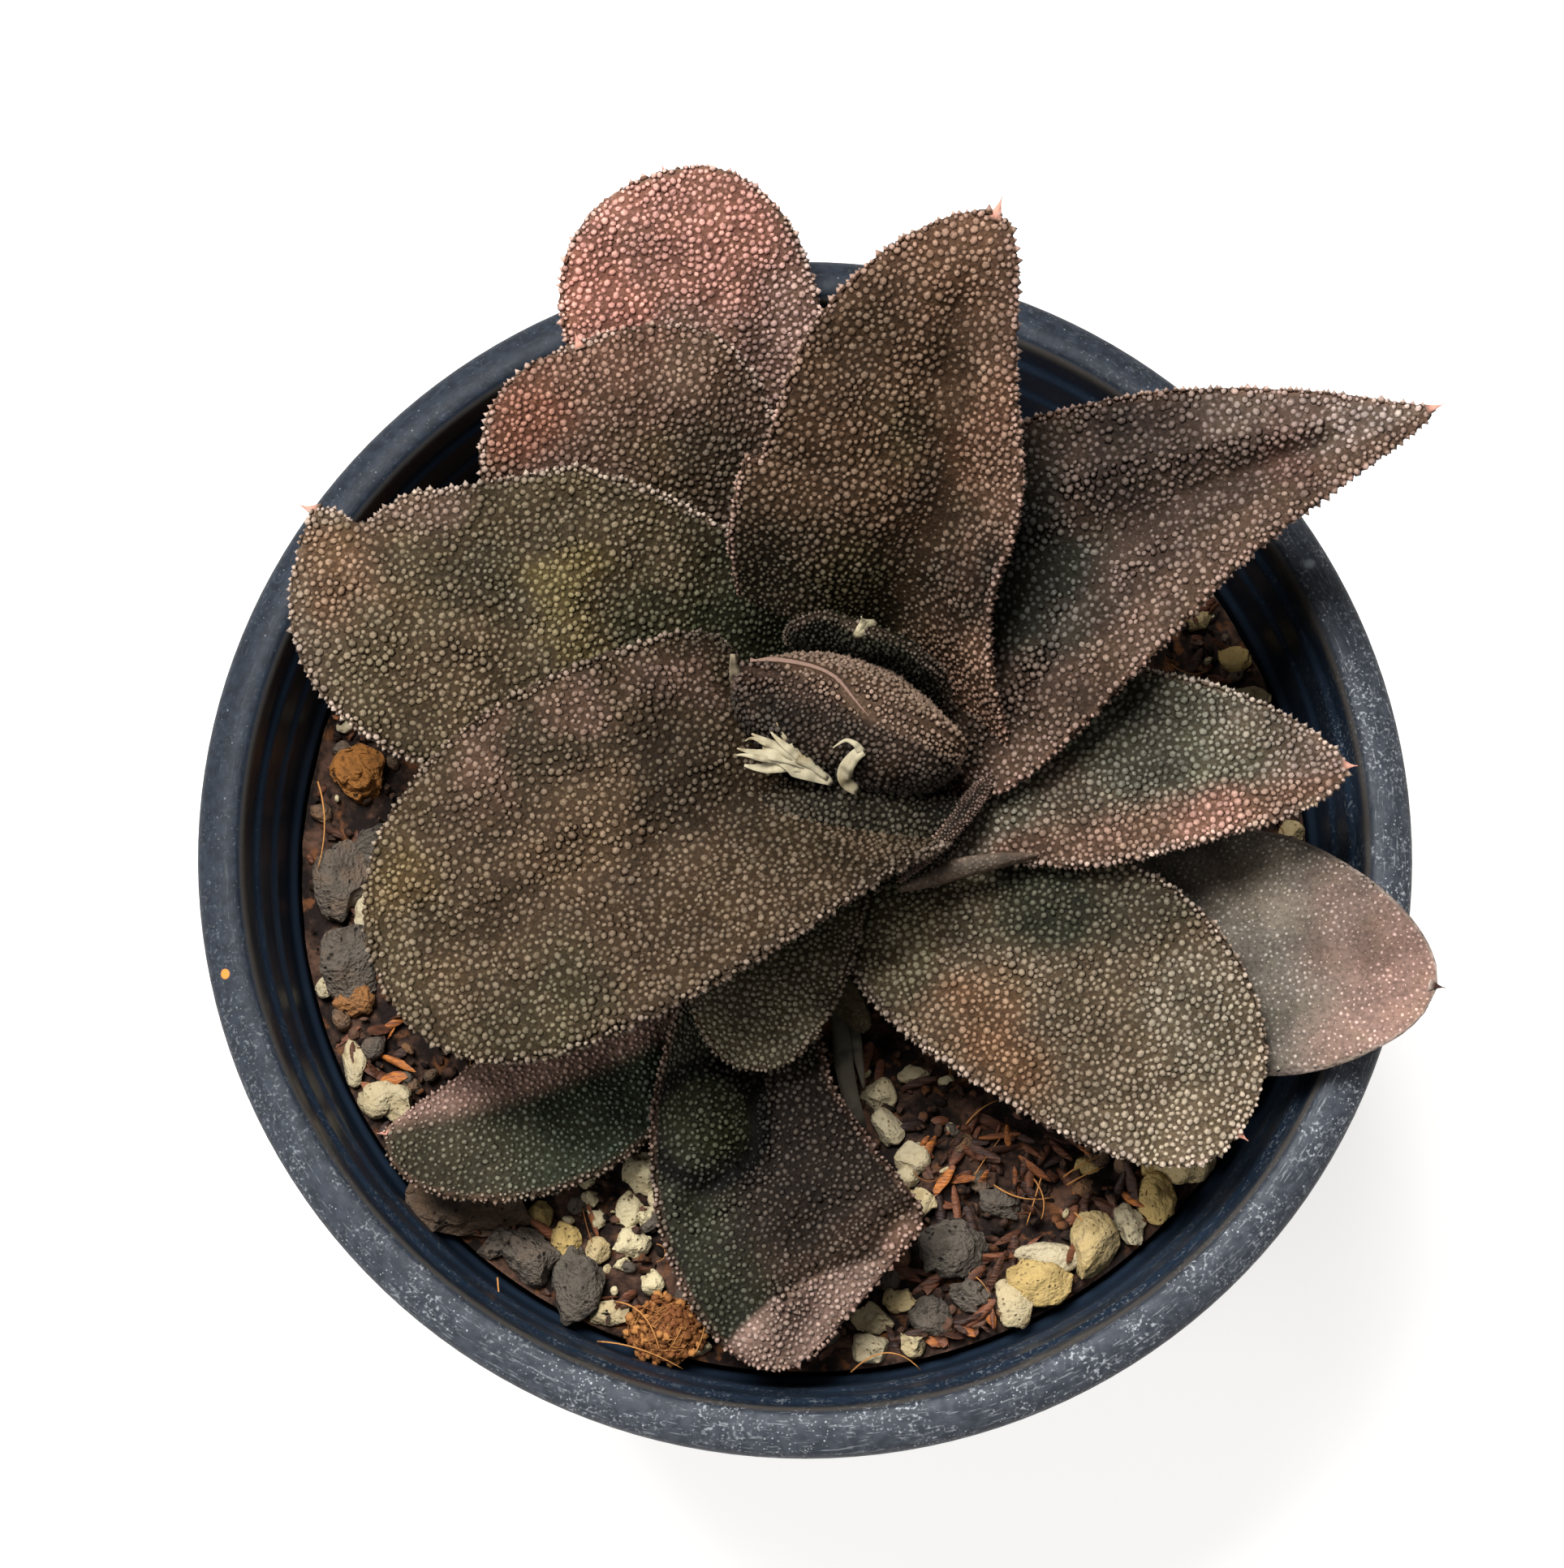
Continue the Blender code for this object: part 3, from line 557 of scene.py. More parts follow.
LAVA = [
    (-30.6, -31.9, 12.0, 6.2, 0.25), (-41.3, -1.7, 5.4, 8.0, 0.1), (-40.7, -9.7, 5.8, 8.0, 0.15),
    (-25.6, -38.2, 5.4, 5.4, 0.1), (-20.4, -39.2, 5.1, 7.3, 0.0), (13.0, -34.7, 6.5, 5.4, 0.0),
    (-40.1, 7.9, 5.4, 5.7, 1.0), (11.2, -40.3, 4.4, 3.6, 0.0), (-38.8, 1.3, 3.6, 5.1, 0.0),
    (-40.3, -12.6, 4.4, 3.6, 0.7), (-28.4, -36.1, 3.6, 2.9, 0.1), (14.6, -38.4, 4.0, 3.4, 0.0),
    (17.0, -30.6, 3.4, 3.0, 0.0), (25.6, -26.2, 2.6, 2.6, 0.2), (-34.0, -34.0, 4.0, 3.4, 0.3),
    (-31.5, -26.6, 4.4, 3.2, 0.05),
]
MIX_HEIGHT = 67.0
MIX_DIP = 2.8
MIX_DIP_RADIUS = 14.0
MIX_BANK_RADIUS = 30.0
MIX_SLOPE = 0.035
CLEARANCE = 0.35
MIX_EDGE = LEDGE_RADIUS - CLEARANCE
ROUGH_OCTAVES = 3


def mix_level(x, y):
    """Height of the top of the mix: lower round the stem, and banked up a little at the front."""
    bank = np.clip((np.hypot(x, y) - MIX_DIP_RADIUS) / (MIX_BANK_RADIUS - MIX_DIP_RADIUS), 0, 1)
    return MIX_HEIGHT - MIX_DIP * (1 - bank) - MIX_SLOPE * y * bank


def rough(points, wave, height):
    """Push points in or out by fractal noise of a wave length and height in millimetres."""
    lengths = np.linalg.norm(points, axis=1)
    push = np.array([noise.fractal(Vector(point) / wave, 1.0, 2.0, ROUGH_OCTAVES) for point in points])
    return points * (1 + height * push / np.maximum(lengths, 0.1))[:, None]


def ball(detail):
    """A ball of unit radius, with four times the faces for each step of detail."""
    bm = bmesh.new()
    bmesh.ops.create_icosphere(bm, subdivisions=detail, radius=1)
    return shape_of(bm)


print("stones that show:", len(PUMICE) + len(PERLITE) + len(LAVA))

# %% Break a ball into a stone
BALLS = {detail: ball(detail) for detail in (1, 2, 3, 4)}
LARGE_STONE = 3.0
STREWN_KINDS = 6


def stone(rng, size, cuts, lumps, height, detail):
    """A broken and roughened ball, as large as size along each axis. Heights are in millimetres."""
    points, triangles = BALLS[detail]
    points = points.copy()
    for _ in range(cuts):
        facing = rng.normal(size=3)
        facing /= np.linalg.norm(facing)
        beyond = np.maximum(0, points @ facing - rng.uniform(0.55, 0.85))
        points -= beyond[:, None] * facing
    points = points / np.abs(points).max(axis=0) * np.array(size) / 2
    shift = rng.uniform(-50, 50, 3)
    if height:
        points = rough(points + shift, lumps, height) - shift
    return points, triangles


def seated(rng, spots, rise, cuts, lumps, height):
    """Stones at their places, half sunk in the mix, with the tint of each."""
    shapes = []
    tints = []
    for x, y, length, width, tint in spots:
        pull = min(1.0, (MIX_EDGE - 0.3) / (math.hypot(x, y) + min(length, width) / 2))
        detail = 4 if max(length, width) > LARGE_STONE else 3
        size = (length, width, min(length, width) * rise)
        points, triangles = stone(rng, size, cuts, lumps, height, detail)
        place = np.array([x * pull, y * pull, float(mix_level(x, y)) + size[2] * 0.18])
        shapes.append((points + place, triangles))
        tints.append(np.full(len(points), tint + rng.uniform(-0.08, 0.08)))
    return together(shapes), np.concatenate(tints)


def dealt(kinds, turns, places, tints):
    """Copies of a few kinds of shape, dealt out in turn over the places, with the tint of every point."""
    every = len(kinds)
    shapes = [copies(kind, turns[first::every], places[first::every]) for first, kind in enumerate(kinds)]
    shades = [np.repeat(tints[first::every], len(kind[0])) for first, kind in enumerate(kinds)]
    return together(shapes), np.concatenate(shades)


def strewn(rng, count, detail, small, large, flat):
    """Small broken stones strewn over the mix, with a tint each."""
    radius = MIX_EDGE * np.sqrt(rng.uniform(0.03, 1, count)) - large / 2
    angle = rng.uniform(0, math.tau, count)
    x, y = radius * np.cos(angle), radius * np.sin(angle)
    sizes = rng.uniform(small, large, count)
    stretch = rng.uniform((0.7, 0.5, flat * 0.7), (1.3, 0.9, flat * 1.2), (count, 3))
    kinds = [stone(rng, (1, 1, 1), 5, 1, 0, detail) for _ in range(STREWN_KINDS)]
    places = np.column_stack((x, y, mix_level(x, y) + sizes * 0.15 + rng.uniform(-0.2, 0.4, count)))
    turns = rotations(rng, count) * (stretch * sizes[:, None])[:, None, :]
    return dealt(kinds, turns, places, rng.uniform(0, 1, count))


print("points in a large stone:", len(BALLS[4][0]))


# %% [markdown]
# ## The mix: finishes
# Each kind of grain has its own finish, and each grain its own tint, which is kept on its points. Pumice runs
# from chalk white to deep yellow and is finely pored. Lava is grey to rust with open pits. Bark is streaked
# along its length. The fine stuff between them is a dark peaty brown.


# %% Finishes for the grains
def grain_finish(name, pale, strong, dark, pit_scale, pit_depth):
    """A stone finish from pale to strong by its tint, with stains and painted shade in its pits."""
    finish = Finish(name, roughness=0.9, specular_ior_level=0.25)
    tint = finish.attribute("tint")
    colour = finish.mix(pale, strong, finish.step(tint + (finish.noise(420, 3) - 0.5) * 0.5, 0.0, 1.0))
    stain = finish.step(finish.noise(700, 4), 0.50, 0.72)
    colour = finish.mix(colour, dark, stain * 0.45)
    pits = finish.step(finish.cells(pit_scale), 0.30, 0.10) * finish.step(finish.noise(650, 2), 0.40, 0.62)
    # Painted shade: the pits are darkened for the shade that falls in them.
    colour = finish.mix(colour, dark, pits * 0.8)
    relief = finish.noise(2600, 5) - pits
    return finish.feed(colour, bump=relief, strength=0.7, depth=pit_depth)


def soil_finish(name, dark, light, accent):
    """Peaty crumbs: dark brown to lighter by their tint, with rusty flecks. On the bed the tint is painted
    light: lighter on what stands up, darker in the hollows.
    """
    finish = Finish(name, roughness=0.92, specular_ior_level=0.2)
    tint = finish.attribute("tint")
    colour = finish.mix(dark, light, finish.step(tint + (finish.noise(1300, 5) - 0.5) * 1.1, 0.15, 1.0))
    colour = finish.mix(colour, accent, finish.step(finish.noise(520, 4), 0.56, 0.70) * 0.7)
    return finish.feed(colour, bump=finish.noise(2400, 6), strength=0.8, depth=0.0003)


def bark_finish():
    """Pine bark: dark brown to rust by its tint, with fine streaks, and bright orange on the palest chips
    that is partly the bark's colour and partly painted glints.
    """
    finish = Finish("bark_chips", roughness=0.6, specular_ior_level=0.4)
    tint = finish.attribute("tint")
    streak = finish.node("ShaderNodeMapping", {}, finish.place, (0, 0, 0), (0, 0, 0.6), (1.0, 5.0, 2.0))
    lines = finish.noise(700, 5, place=streak)
    colour = finish.mix(rgb(38, 21, 14), rgb(112, 66, 42), finish.step(tint + (lines - 0.5) * 0.9, 0.0, 0.9))
    # Bright orange on the palest chips, which lie highest: partly the bark's own colour, partly painted
    # glints.
    rusty = finish.step(tint, 0.70, 0.86) * finish.step(lines, 0.35, 0.65)
    colour = finish.mix(colour, rgb(172, 102, 40), rusty)
    return finish.feed(colour, bump=lines, strength=0.8, depth=0.0004)


# Colours from pale to strong, the colour of the stains and of the painted shade in the pits, pits a metre,
# and their depth in metres
PUMICE_FINISH = grain_finish("pumice", rgb(168, 156, 128), rgb(166, 141, 88), rgb(108, 88, 54),
                             2000, 0.0005)
PERLITE_FINISH = grain_finish("perlite", rgb(186, 173, 138), rgb(168, 148, 106), rgb(112, 94, 60),
                              1800, 0.0005)
LAVA_FINISH = grain_finish("lava", rgb(88, 80, 71), rgb(150, 98, 46), rgb(20, 16, 13), 1100, 0.0014)
print("finishes for stones:", PUMICE_FINISH.name, PERLITE_FINISH.name, LAVA_FINISH.name)

# %% [markdown]
# ## The mix: building
# The bed is a turned disc whose top is raised into crumbs by noise, and it fills the pot to its floor, as
# the CAD solid does. The stones, chips and fibres lie in it. Loose grains repeat a few shapes, each turned
# and stretched in its own way, so thousands of them need only a few dozen faces each.

# %% The bed of the mix
BED_RINGS = 70
BED_SIDES = 160
CRUMB_HEIGHT = 0.75
CRUMBS = 2200


def build_bed(rng):
    """The body of the mix down to the pot's floor, and small crumbs strewn over its top."""
    bottom = FLOOR_HEIGHT + CLEARANCE
    top = [(MIX_EDGE * ring / BED_RINGS, MIX_HEIGHT) for ring in range(BED_RINGS + 1)]
    side = [(MIX_EDGE, MIX_HEIGHT - 1.2), (MIX_EDGE, LEDGE_HEIGHT), (inner_radius(3.2) - 0.5, 3.4),
            (FOOT_RADIUS - 4.0, bottom), (0.0, bottom)]
    points, triangles = shape_of(turned(top + side, BED_SIDES))
    on_top = points[:, 2] > MIX_HEIGHT - 0.1
    x, y = points[:, 0], points[:, 1]
    coarse = np.array([noise.fractal(Vector((a, b, 3.0)) / 3.2, 0.8, 2.1, 5) for a, b in zip(x, y)])
    fine = np.array([noise.cell(Vector((a, b, 9.0)) / 1.1) for a, b in zip(x, y)])
    lift = CRUMB_HEIGHT * coarse + 0.35 * fine
    points[on_top, 2] = (mix_level(x, y) + lift - 0.3)[on_top]
    crumbs, crumb_tints = strewn(rng, CRUMBS, 1, 0.5, 1.5, 0.7)
    # The bed's tint follows its height: painted light on the bumps and painted shade in the hollows. The
    # crumbs' tints are random.
    values = {"tint": np.concatenate((np.clip(0.35 + 0.5 * coarse, 0, 1), crumb_tints * 0.9))}
    finish = soil_finish("peaty_bed", rgb(24, 16, 13), rgb(92, 66, 52), rgb(112, 70, 40))
    show("mix_bed", together([(points, triangles), crumbs]), finish, "potting_mix", "potting_mix",
         values=values, sharp=60)


build_bed(np.random.default_rng(11))

# %% Pumice, perlite and lava
# Grit is given as a count, the detail of its balls, its smallest and largest size, and how flat it lies
STONE_KINDS = {
    "pumice": dict(spots=PUMICE, rise=0.8, cuts=7, lumps=1.1, height=0.48, finish=PUMICE_FINISH,
                   grit=(60, 2, 0.6, 1.4, 0.8), seed=21),
    "perlite": dict(spots=PERLITE, rise=0.85, cuts=5, lumps=0.7, height=0.55, finish=PERLITE_FINISH,
                    grit=(50, 2, 0.4, 1.0, 0.9), seed=22),
    "lava": dict(spots=LAVA, rise=0.7, cuts=9, lumps=0.9, height=0.75, finish=LAVA_FINISH,
                 grit=(300, 2, 0.8, 2.6, 0.8), seed=23),
}


def build_stones(name, spots, rise, cuts, lumps, height, finish, grit, seed):
    """The large stones of one kind at their places, with grit of the same kind strewn between them."""
    rng = np.random.default_rng(seed)
    large, large_tints = seated(rng, spots, rise, cuts, lumps, height)
    small, small_tints = strewn(rng, *grit)
    show(name + "_stones", together([large, small]), finish, "potting_mix",
         values={"tint": np.concatenate((large_tints, small_tints * 0.5))}, sharp=70)


for kind_name, kind in STONE_KINDS.items():
    build_stones(kind_name, **kind)

# %% Bark chips
# Where chips gather: the middle of each area, its spread, and the number of chips
BARK_AREAS = [
    (13.5, -27.0, 5.5, 34), (20.0, -28.0, 6.0, 26), (24.5, -31.0, 3.0, 10), (-38.5, -17.5, 4.0, 14),
    (-3.0, -44.0, 4.5, 14), (14.0, -42.5, 4.0, 14), (-23.5, -36.0, 2.5, 6), (36.5, 22.0, 4.0, 12),
    (30.0, -25.0, 5.0, 12), (-41.0, 14.0, 3.0, 8), (18.0, -36.5, 3.0, 10), (-36.0, -26.0, 4.0, 10),
]
BARK_SPREAD = 420
BARK_KINDS = 8


def turns_about(axis, angles):
    """A turn about one axis for each angle, as rows, columns and angles."""
    cos, sin, zero, one = np.cos(angles), np.sin(angles), np.zeros(len(angles)), np.ones(len(angles))
    if axis == "x":
        rows = [[one, zero, zero], [zero, cos, -sin], [zero, sin, cos]]
    elif axis == "y":
        rows = [[cos, zero, sin], [zero, one, zero], [-sin, zero, cos]]
    else:
        rows = [[cos, -sin, zero], [sin, cos, zero], [zero, zero, one]]
    return np.array(rows)


def build_bark(rng):
    """Chips of bark, gathered in their areas and spread thinly over the rest of the mix."""
    chips = [stone(rng, (1.0, 1.0, 1.0), 9, 0.5, 0.14, 2) for _ in range(BARK_KINDS)]
    x, y = [], []
    for centre_x, centre_y, spread, count in BARK_AREAS:
        x.append(centre_x + rng.normal(0, spread / 2, count))
        y.append(centre_y + rng.normal(0, spread / 2, count))
    radius = MIX_EDGE * np.sqrt(rng.uniform(0.05, 1, BARK_SPREAD))
    angle = rng.uniform(0, math.tau, BARK_SPREAD)
    x = np.concatenate(x + [radius * np.cos(angle)])
    y = np.concatenate(y + [radius * np.sin(angle)])
    count = len(x)
    lengths = rng.uniform(1.0, 2.25, count) ** 1.9
    widths = np.minimum(lengths, 2.2) * rng.uniform(0.25, 0.6, count)
    pull = np.minimum(1.0, (MIX_EDGE - 0.2) / (np.hypot(x, y) + lengths / 2))
    x, y = x * pull, y * pull
    yaw = turns_about("z", rng.uniform(0, math.pi, count))
    pitch = turns_about("y", rng.normal(0, 0.4, count))
    roll = turns_about("x", rng.normal(0, 0.6, count))
    turns = np.einsum("ijn,jkn,kln->nil", yaw, pitch, roll)
    turns = turns * np.column_stack((lengths, widths, widths * rng.uniform(0.3, 0.8, count)))[:, None, :]
    rise = rng.uniform(-0.2, 1.0, count)
    places = np.column_stack((x, y, mix_level(x, y) + rise))
    # A chip's tint rises with its height: painted shade, darker on the chips that lie lower.
    tints = np.clip(rng.uniform(0, 1, count) ** 1.4 * 0.8 + rise * 0.2, 0, 1)
    shape, shades = dealt(chips, turns, places, tints)
    show("bark_chips", shape, bark_finish(), "potting_mix", values={"tint": shades}, sharp=40)


build_bark(np.random.default_rng(31))

# %% [markdown]
# ## A smooth line through a few points
# Fibres, shreds and leaves all follow a bent line. Blender's curves could draw them, but then each would
# have to be turned into a mesh before it is copied. A cubic through a few points, worked out for many
# places at once, gives the same line and its direction.


# %% Places and directions along a line
def along(points, share):
    """Places and directions at shares of the way along a smooth line through the points."""
    points = np.array(points, float)
    chords = np.linalg.norm(np.diff(points, axis=0), axis=1)
    knots = np.concatenate(([0.0], np.cumsum(chords))) / chords.sum()
    slopes = np.gradient(points, knots, axis=0, edge_order=2)
    first = np.clip(np.searchsorted(knots, share, side="right") - 1, 0, len(knots) - 2)
    span = (knots[first + 1] - knots[first])[:, None]
    t = (share - knots[first])[:, None] / span
    start, end = points[first], points[first + 1]
    pull_start, pull_end = slopes[first] * span, slopes[first + 1] * span
    spots = ((2 * t**3 - 3 * t**2 + 1) * start + (t**3 - 2 * t**2 + t) * pull_start
             + (3 * t**2 - 2 * t**3) * end + (t**3 - t**2) * pull_end)
    headings = ((6 * t**2 - 6 * t) * start + (3 * t**2 - 4 * t + 1) * pull_start
                + (6 * t - 6 * t**2) * end + (3 * t**2 - 2 * t) * pull_end)
    return spots, headings / np.linalg.norm(headings, axis=1)[:, None]


def bent(shape, line, across, up):
    """Bend a shape that stands on the origin, one unit tall, along a line, with two widths."""
    points, triangles = shape
    spots, headings = along(line, np.clip(points[:, 2], 0, 1))
    aside = np.cross(headings, (0.0, 0.0, 1.0))
    aside /= np.maximum(np.linalg.norm(aside, axis=1), 1e-6)[:, None]
    raised = np.cross(aside, headings)
    return spots + aside * (points[:, :1] * across) + raised * (points[:, 1:2] * up), triangles


def column(sides, steps, taper):
    """A slim upright column, one unit tall and of unit radius at its foot, made of rings."""
    bm = bmesh.new()
    bmesh.ops.create_circle(bm, cap_ends=True, segments=sides, radius=1)
    for face in bm.faces:
        face.normal_flip()
    top = list(bm.faces)[0]
    radius = 1.0
    for step in range(steps):
        raised = bmesh.ops.extrude_face_region(bm, geom=[top])
        verts = [item for item in raised["geom"] if isinstance(item, bmesh.types.BMVert)]
        new_radius = taper((step + 1) / steps)
        bmesh.ops.translate(bm, verts=verts, vec=(0, 0, 1 / steps))
        bmesh.ops.scale(bm, verts=verts, vec=(new_radius / radius, new_radius / radius, 1))
        radius = new_radius
        if step:
            bmesh.ops.delete(bm, geom=[top], context="FACES_ONLY")
        top = [item for item in raised["geom"] if isinstance(item, bmesh.types.BMFace)][0]
    bmesh.ops.recalc_face_normals(bm, faces=bm.faces)
    return shape_of(bm)


# %% Coir: a matted ball and loose fibres
# The ball's place, length and width, then each fibre's line with its height over the mix
COIR_BALL = (-12.1, -41.6, 6.4, 5.6)
BALL_FIBRES = 150
BALL_CRUMBS = 140
LOOSE_FIBRES = [
    [(20.9, -27.9, 0.9), (20.2, -30.0, 1.5), (19.4, -32.5, 1.0)],
    [(16.6, -29.0, 0.9), (19.0, -30.2, 1.7), (21.6, -30.1, 1.0)],
    [(20.1, -28.5, 1.2), (20.9, -30.6, 1.6), (20.7, -32.0, 1.0)],
    [(14.2, -23.7, 1.0), (15.6, -22.3, 1.9), (17.1, -21.5, 1.2)],
    [(22.7, -28.3, 1.0), (24.4, -27.2, 1.7), (25.9, -26.5, 1.0)],
    [(23.0, -29.0, 1.1), (24.9, -28.0, 1.6), (26.3, -27.4, 0.9)],
    [(23.6, -31.4, 1.0), (24.8, -32.8, 1.6), (25.8, -34.0, 1.2)],
    [(-18.0, -42.6, 1.2), (-14.6, -43.2, 3.0), (-10.5, -45.0, 1.6)],
    [(-16.4, -39.2, 1.6), (-14.0, -40.4, 3.4), (-12.5, -43.6, 3.2)],
    [(-9.6, -43.8, 2.0), (-8.7, -41.5, 3.2), (-8.9, -39.0, 2.0)],
    [(-26.6, -37.2, 3.4), (-26.4, -39.0, 3.6), (-26.2, -41.2, 3.2)],
    [(-43.6, 7.0, 2.4), (-42.8, 3.0, 3.0), (-43.4, -1.0, 2.2)],
    [(4.0, -45.2, 1.0), (7.5, -43.6, 1.9), (10.0, -45.0, 1.0)],
]
SHORT_FIBRES = 46
FIBRE = column(5, 12, lambda share: 1 - 0.5 * share)
print("triangles in a fibre:", len(FIBRE[1]))


def loose_line(rng, x, y, length):
    """A short line that curls over the mix near a place."""
    heading = rng.uniform(0, math.tau)
    bend = rng.normal(0, 0.5)
    points = []
    for step in range(4):
        points.append((x, y, float(mix_level(x, y)) + 0.8 + rng.uniform(-0.2, 0.6)))
        x, y = x + length / 3 * math.cos(heading), y + length / 3 * math.sin(heading)
        heading += bend
    return points


def coir_ball(rng):
    """A rough core with fibres wound over it and crumbs stuck to it: a list of shapes, and of tints."""
    centre_x, centre_y, length, width = COIR_BALL
    centre = np.array((centre_x, centre_y, float(mix_level(centre_x, centre_y)) + 0.9))
    core, triangles = stone(rng, (length * 0.92, width * 0.92, 3.8), 4, 0.9, 1.1, 4)
    shapes = [(core + centre, triangles)]
    tints = [np.full(len(core), 0.3)]
    for _ in range(BALL_FIBRES):
        spot = rng.normal(size=3)
        spot = spot / np.linalg.norm(spot) * (length / 2, width / 2, 2.2) * 0.95
        spot[2] = abs(spot[2])
        sweep = np.cross(spot, rng.normal(size=3))
        sweep = sweep / np.linalg.norm(sweep) * rng.uniform(0.5, 1.5)
        middle = spot * rng.uniform(0.96, 1.12)
        line = [place + centre for place in (spot - sweep, middle, spot + sweep)]
        shapes.append(bent(FIBRE, line, 0.045, 0.045))
        tints.append(np.full(len(FIBRE[0]), rng.uniform(0, 0.8)))
    for _ in range(BALL_CRUMBS):
        crumb, crumb_triangles = stone(rng, rng.uniform(0.35, 1.0, 3), 5, 1, 0, 1)
        spot = rng.normal(size=3)
        spot = spot / np.linalg.norm(spot) * (length / 2, width / 2, 2.0) * rng.uniform(0.85, 1.1)
        spot[2] = abs(spot[2])
        shapes.append((crumb + spot + centre, crumb_triangles))
        tints.append(np.full(len(crumb), rng.uniform(0.1, 0.7)))
    return shapes, tints


def single_fibres(rng):
    """The fibres that are seen one by one, and short ones strewn over the mix."""
    shapes, tints = [], []
    for line in LOOSE_FIBRES:
        raised = [(x, y, float(mix_level(x, y)) + z) for x, y, z in line]
        shapes.append(bent(FIBRE, raised, 0.085, 0.085))
        tints.append(np.full(len(FIBRE[0]), 0.9))
    for _ in range(SHORT_FIBRES):
        radius = MIX_EDGE * math.sqrt(rng.uniform(0.2, 0.86))
        angle = rng.uniform(0, math.tau)
        line = loose_line(rng, radius * math.cos(angle), radius * math.sin(angle), rng.uniform(2.0, 4.5))
        shapes.append(bent(FIBRE, line, 0.06, 0.06))
        tints.append(np.full(len(FIBRE[0]), rng.uniform(0.3, 1)))
    return shapes, tints


def coir_finish():
    """Coconut fibre: rust brown to straw."""
    finish = Finish("coir_fibres", roughness=0.8, specular_ior_level=0.3)
    shade = finish.attribute("tint") + (finish.noise(900, 3) - 0.5) * 0.4
    colour = finish.mix(rgb(96, 50, 20), rgb(176, 122, 66), finish.step(shade, 0.0, 1.0))
    return finish.feed(colour, bump=finish.noise(2600, 4), strength=0.6, depth=0.0002)


def build_coir(rng):
    """The ball of coir and the single fibres, as one piece."""
    ball_shapes, ball_tints = coir_ball(rng)
    fibre_shapes, fibre_tints = single_fibres(rng)
    show("coir_fibres", together(ball_shapes + fibre_shapes), coir_finish(), "potting_mix",
         values={"tint": np.concatenate(ball_tints + fibre_tints)})


build_coir(np.random.default_rng(41))

# %% [markdown]
# ## The stem
# The short stem hardly shows. It is a stub of leaf scars, so it is turned from the CAD profile, and its
# rings are pinched a little.

# %% Turn the stem
STEM_PLACE = (3.9, 8.4)
STEM_FOOT = 56.0
STEM_RADIUS = 7.0
STEM_TOP = [(STEM_RADIUS, 66.0), (5.6, 70.0), (4.6, 75.0), (4.0, 79.5), (2.6, 81.0), (0.0, 81.3)]
SCAR_HEIGHT = 1.7
SCAR_DEPTH = 0.22
STEM_RINGS = 60
STEM_SIDES = 64


def build_stem():
    """The CAD profile of the stem with shallow rings of leaf scars, turned about its axis."""
    foot = [(0.0, STEM_FOOT), (STEM_RADIUS - 1.0, STEM_FOOT), (STEM_RADIUS, STEM_FOOT + 2.0)]
    section = np.array(foot + STEM_TOP)
    heights = np.linspace(0, len(section) - 1, STEM_RINGS)
    radius = np.interp(heights, range(len(section)), section[:, 0])
    height = np.interp(heights, range(len(section)), section[:, 1])
    pinch = SCAR_DEPTH * np.abs(np.sin(height / SCAR_HEIGHT * math.pi)) * np.minimum(1, radius)
    points = list(zip(radius - pinch, height))
    finish = Finish("stem_skin", roughness=0.75, specular_ior_level=0.3)
    colour = finish.mix(rgb(88, 84, 62), rgb(140, 126, 96), finish.noise(300, 4))
    material = finish.feed(colour, bump=finish.noise(1200, 4), strength=0.5, depth=0.0003)
    show("stem_stub", shape_of(turned(points, STEM_SIDES, STEM_PLACE)), material, "stem", "stem")


build_stem()

# %% [markdown]
# ## The leaves: form
# A gasteria leaf is a thick tongue: flat or slightly hollow above, swollen below, blunt at its end with a
# small point. It could be sculpted, but a rule with a few measures for each leaf keeps every leaf true to
# its kind. The rule is the one that the CAD model uses: a smooth line runs out from the stem, a half width
# on each side of it gives the outline, and a height gives the crown and the belly. Folds raise or sink
# the blade along a short line. Four small parts that the CAD model leaves out follow the same rule: the
# heel of the largest leaf, the foot and the neck of two leaves at the right, and a shed leaf base.

# %% The measures of every leaf
# Sides are given left first, as seen from the stem towards the tip, and lengths in millimetres. half is the
# half width of each side, widest its share of the length, blunt how full each side of the end is, foot how
# wide the base starts, swell how slowly it widens, thick the thickness, rise how far each margin and the end
# are lifted, and wave the height of its waves. A fold has its start and end, as share and side, its width and
# its height, and a notch its side, share, length and depth. relief is how tall the warts are, bare_edge the
# width of a margin without them, and crest the path and radius of a pale line along the top.
BASE_ROUNDING = 0.05
WAVE_LENGTH = 13.0
RIPPLE_LENGTH = 4.0
RIPPLE = 0.5
EDGE_THICKNESS = 1.0
USUAL_CROWN = 0.7

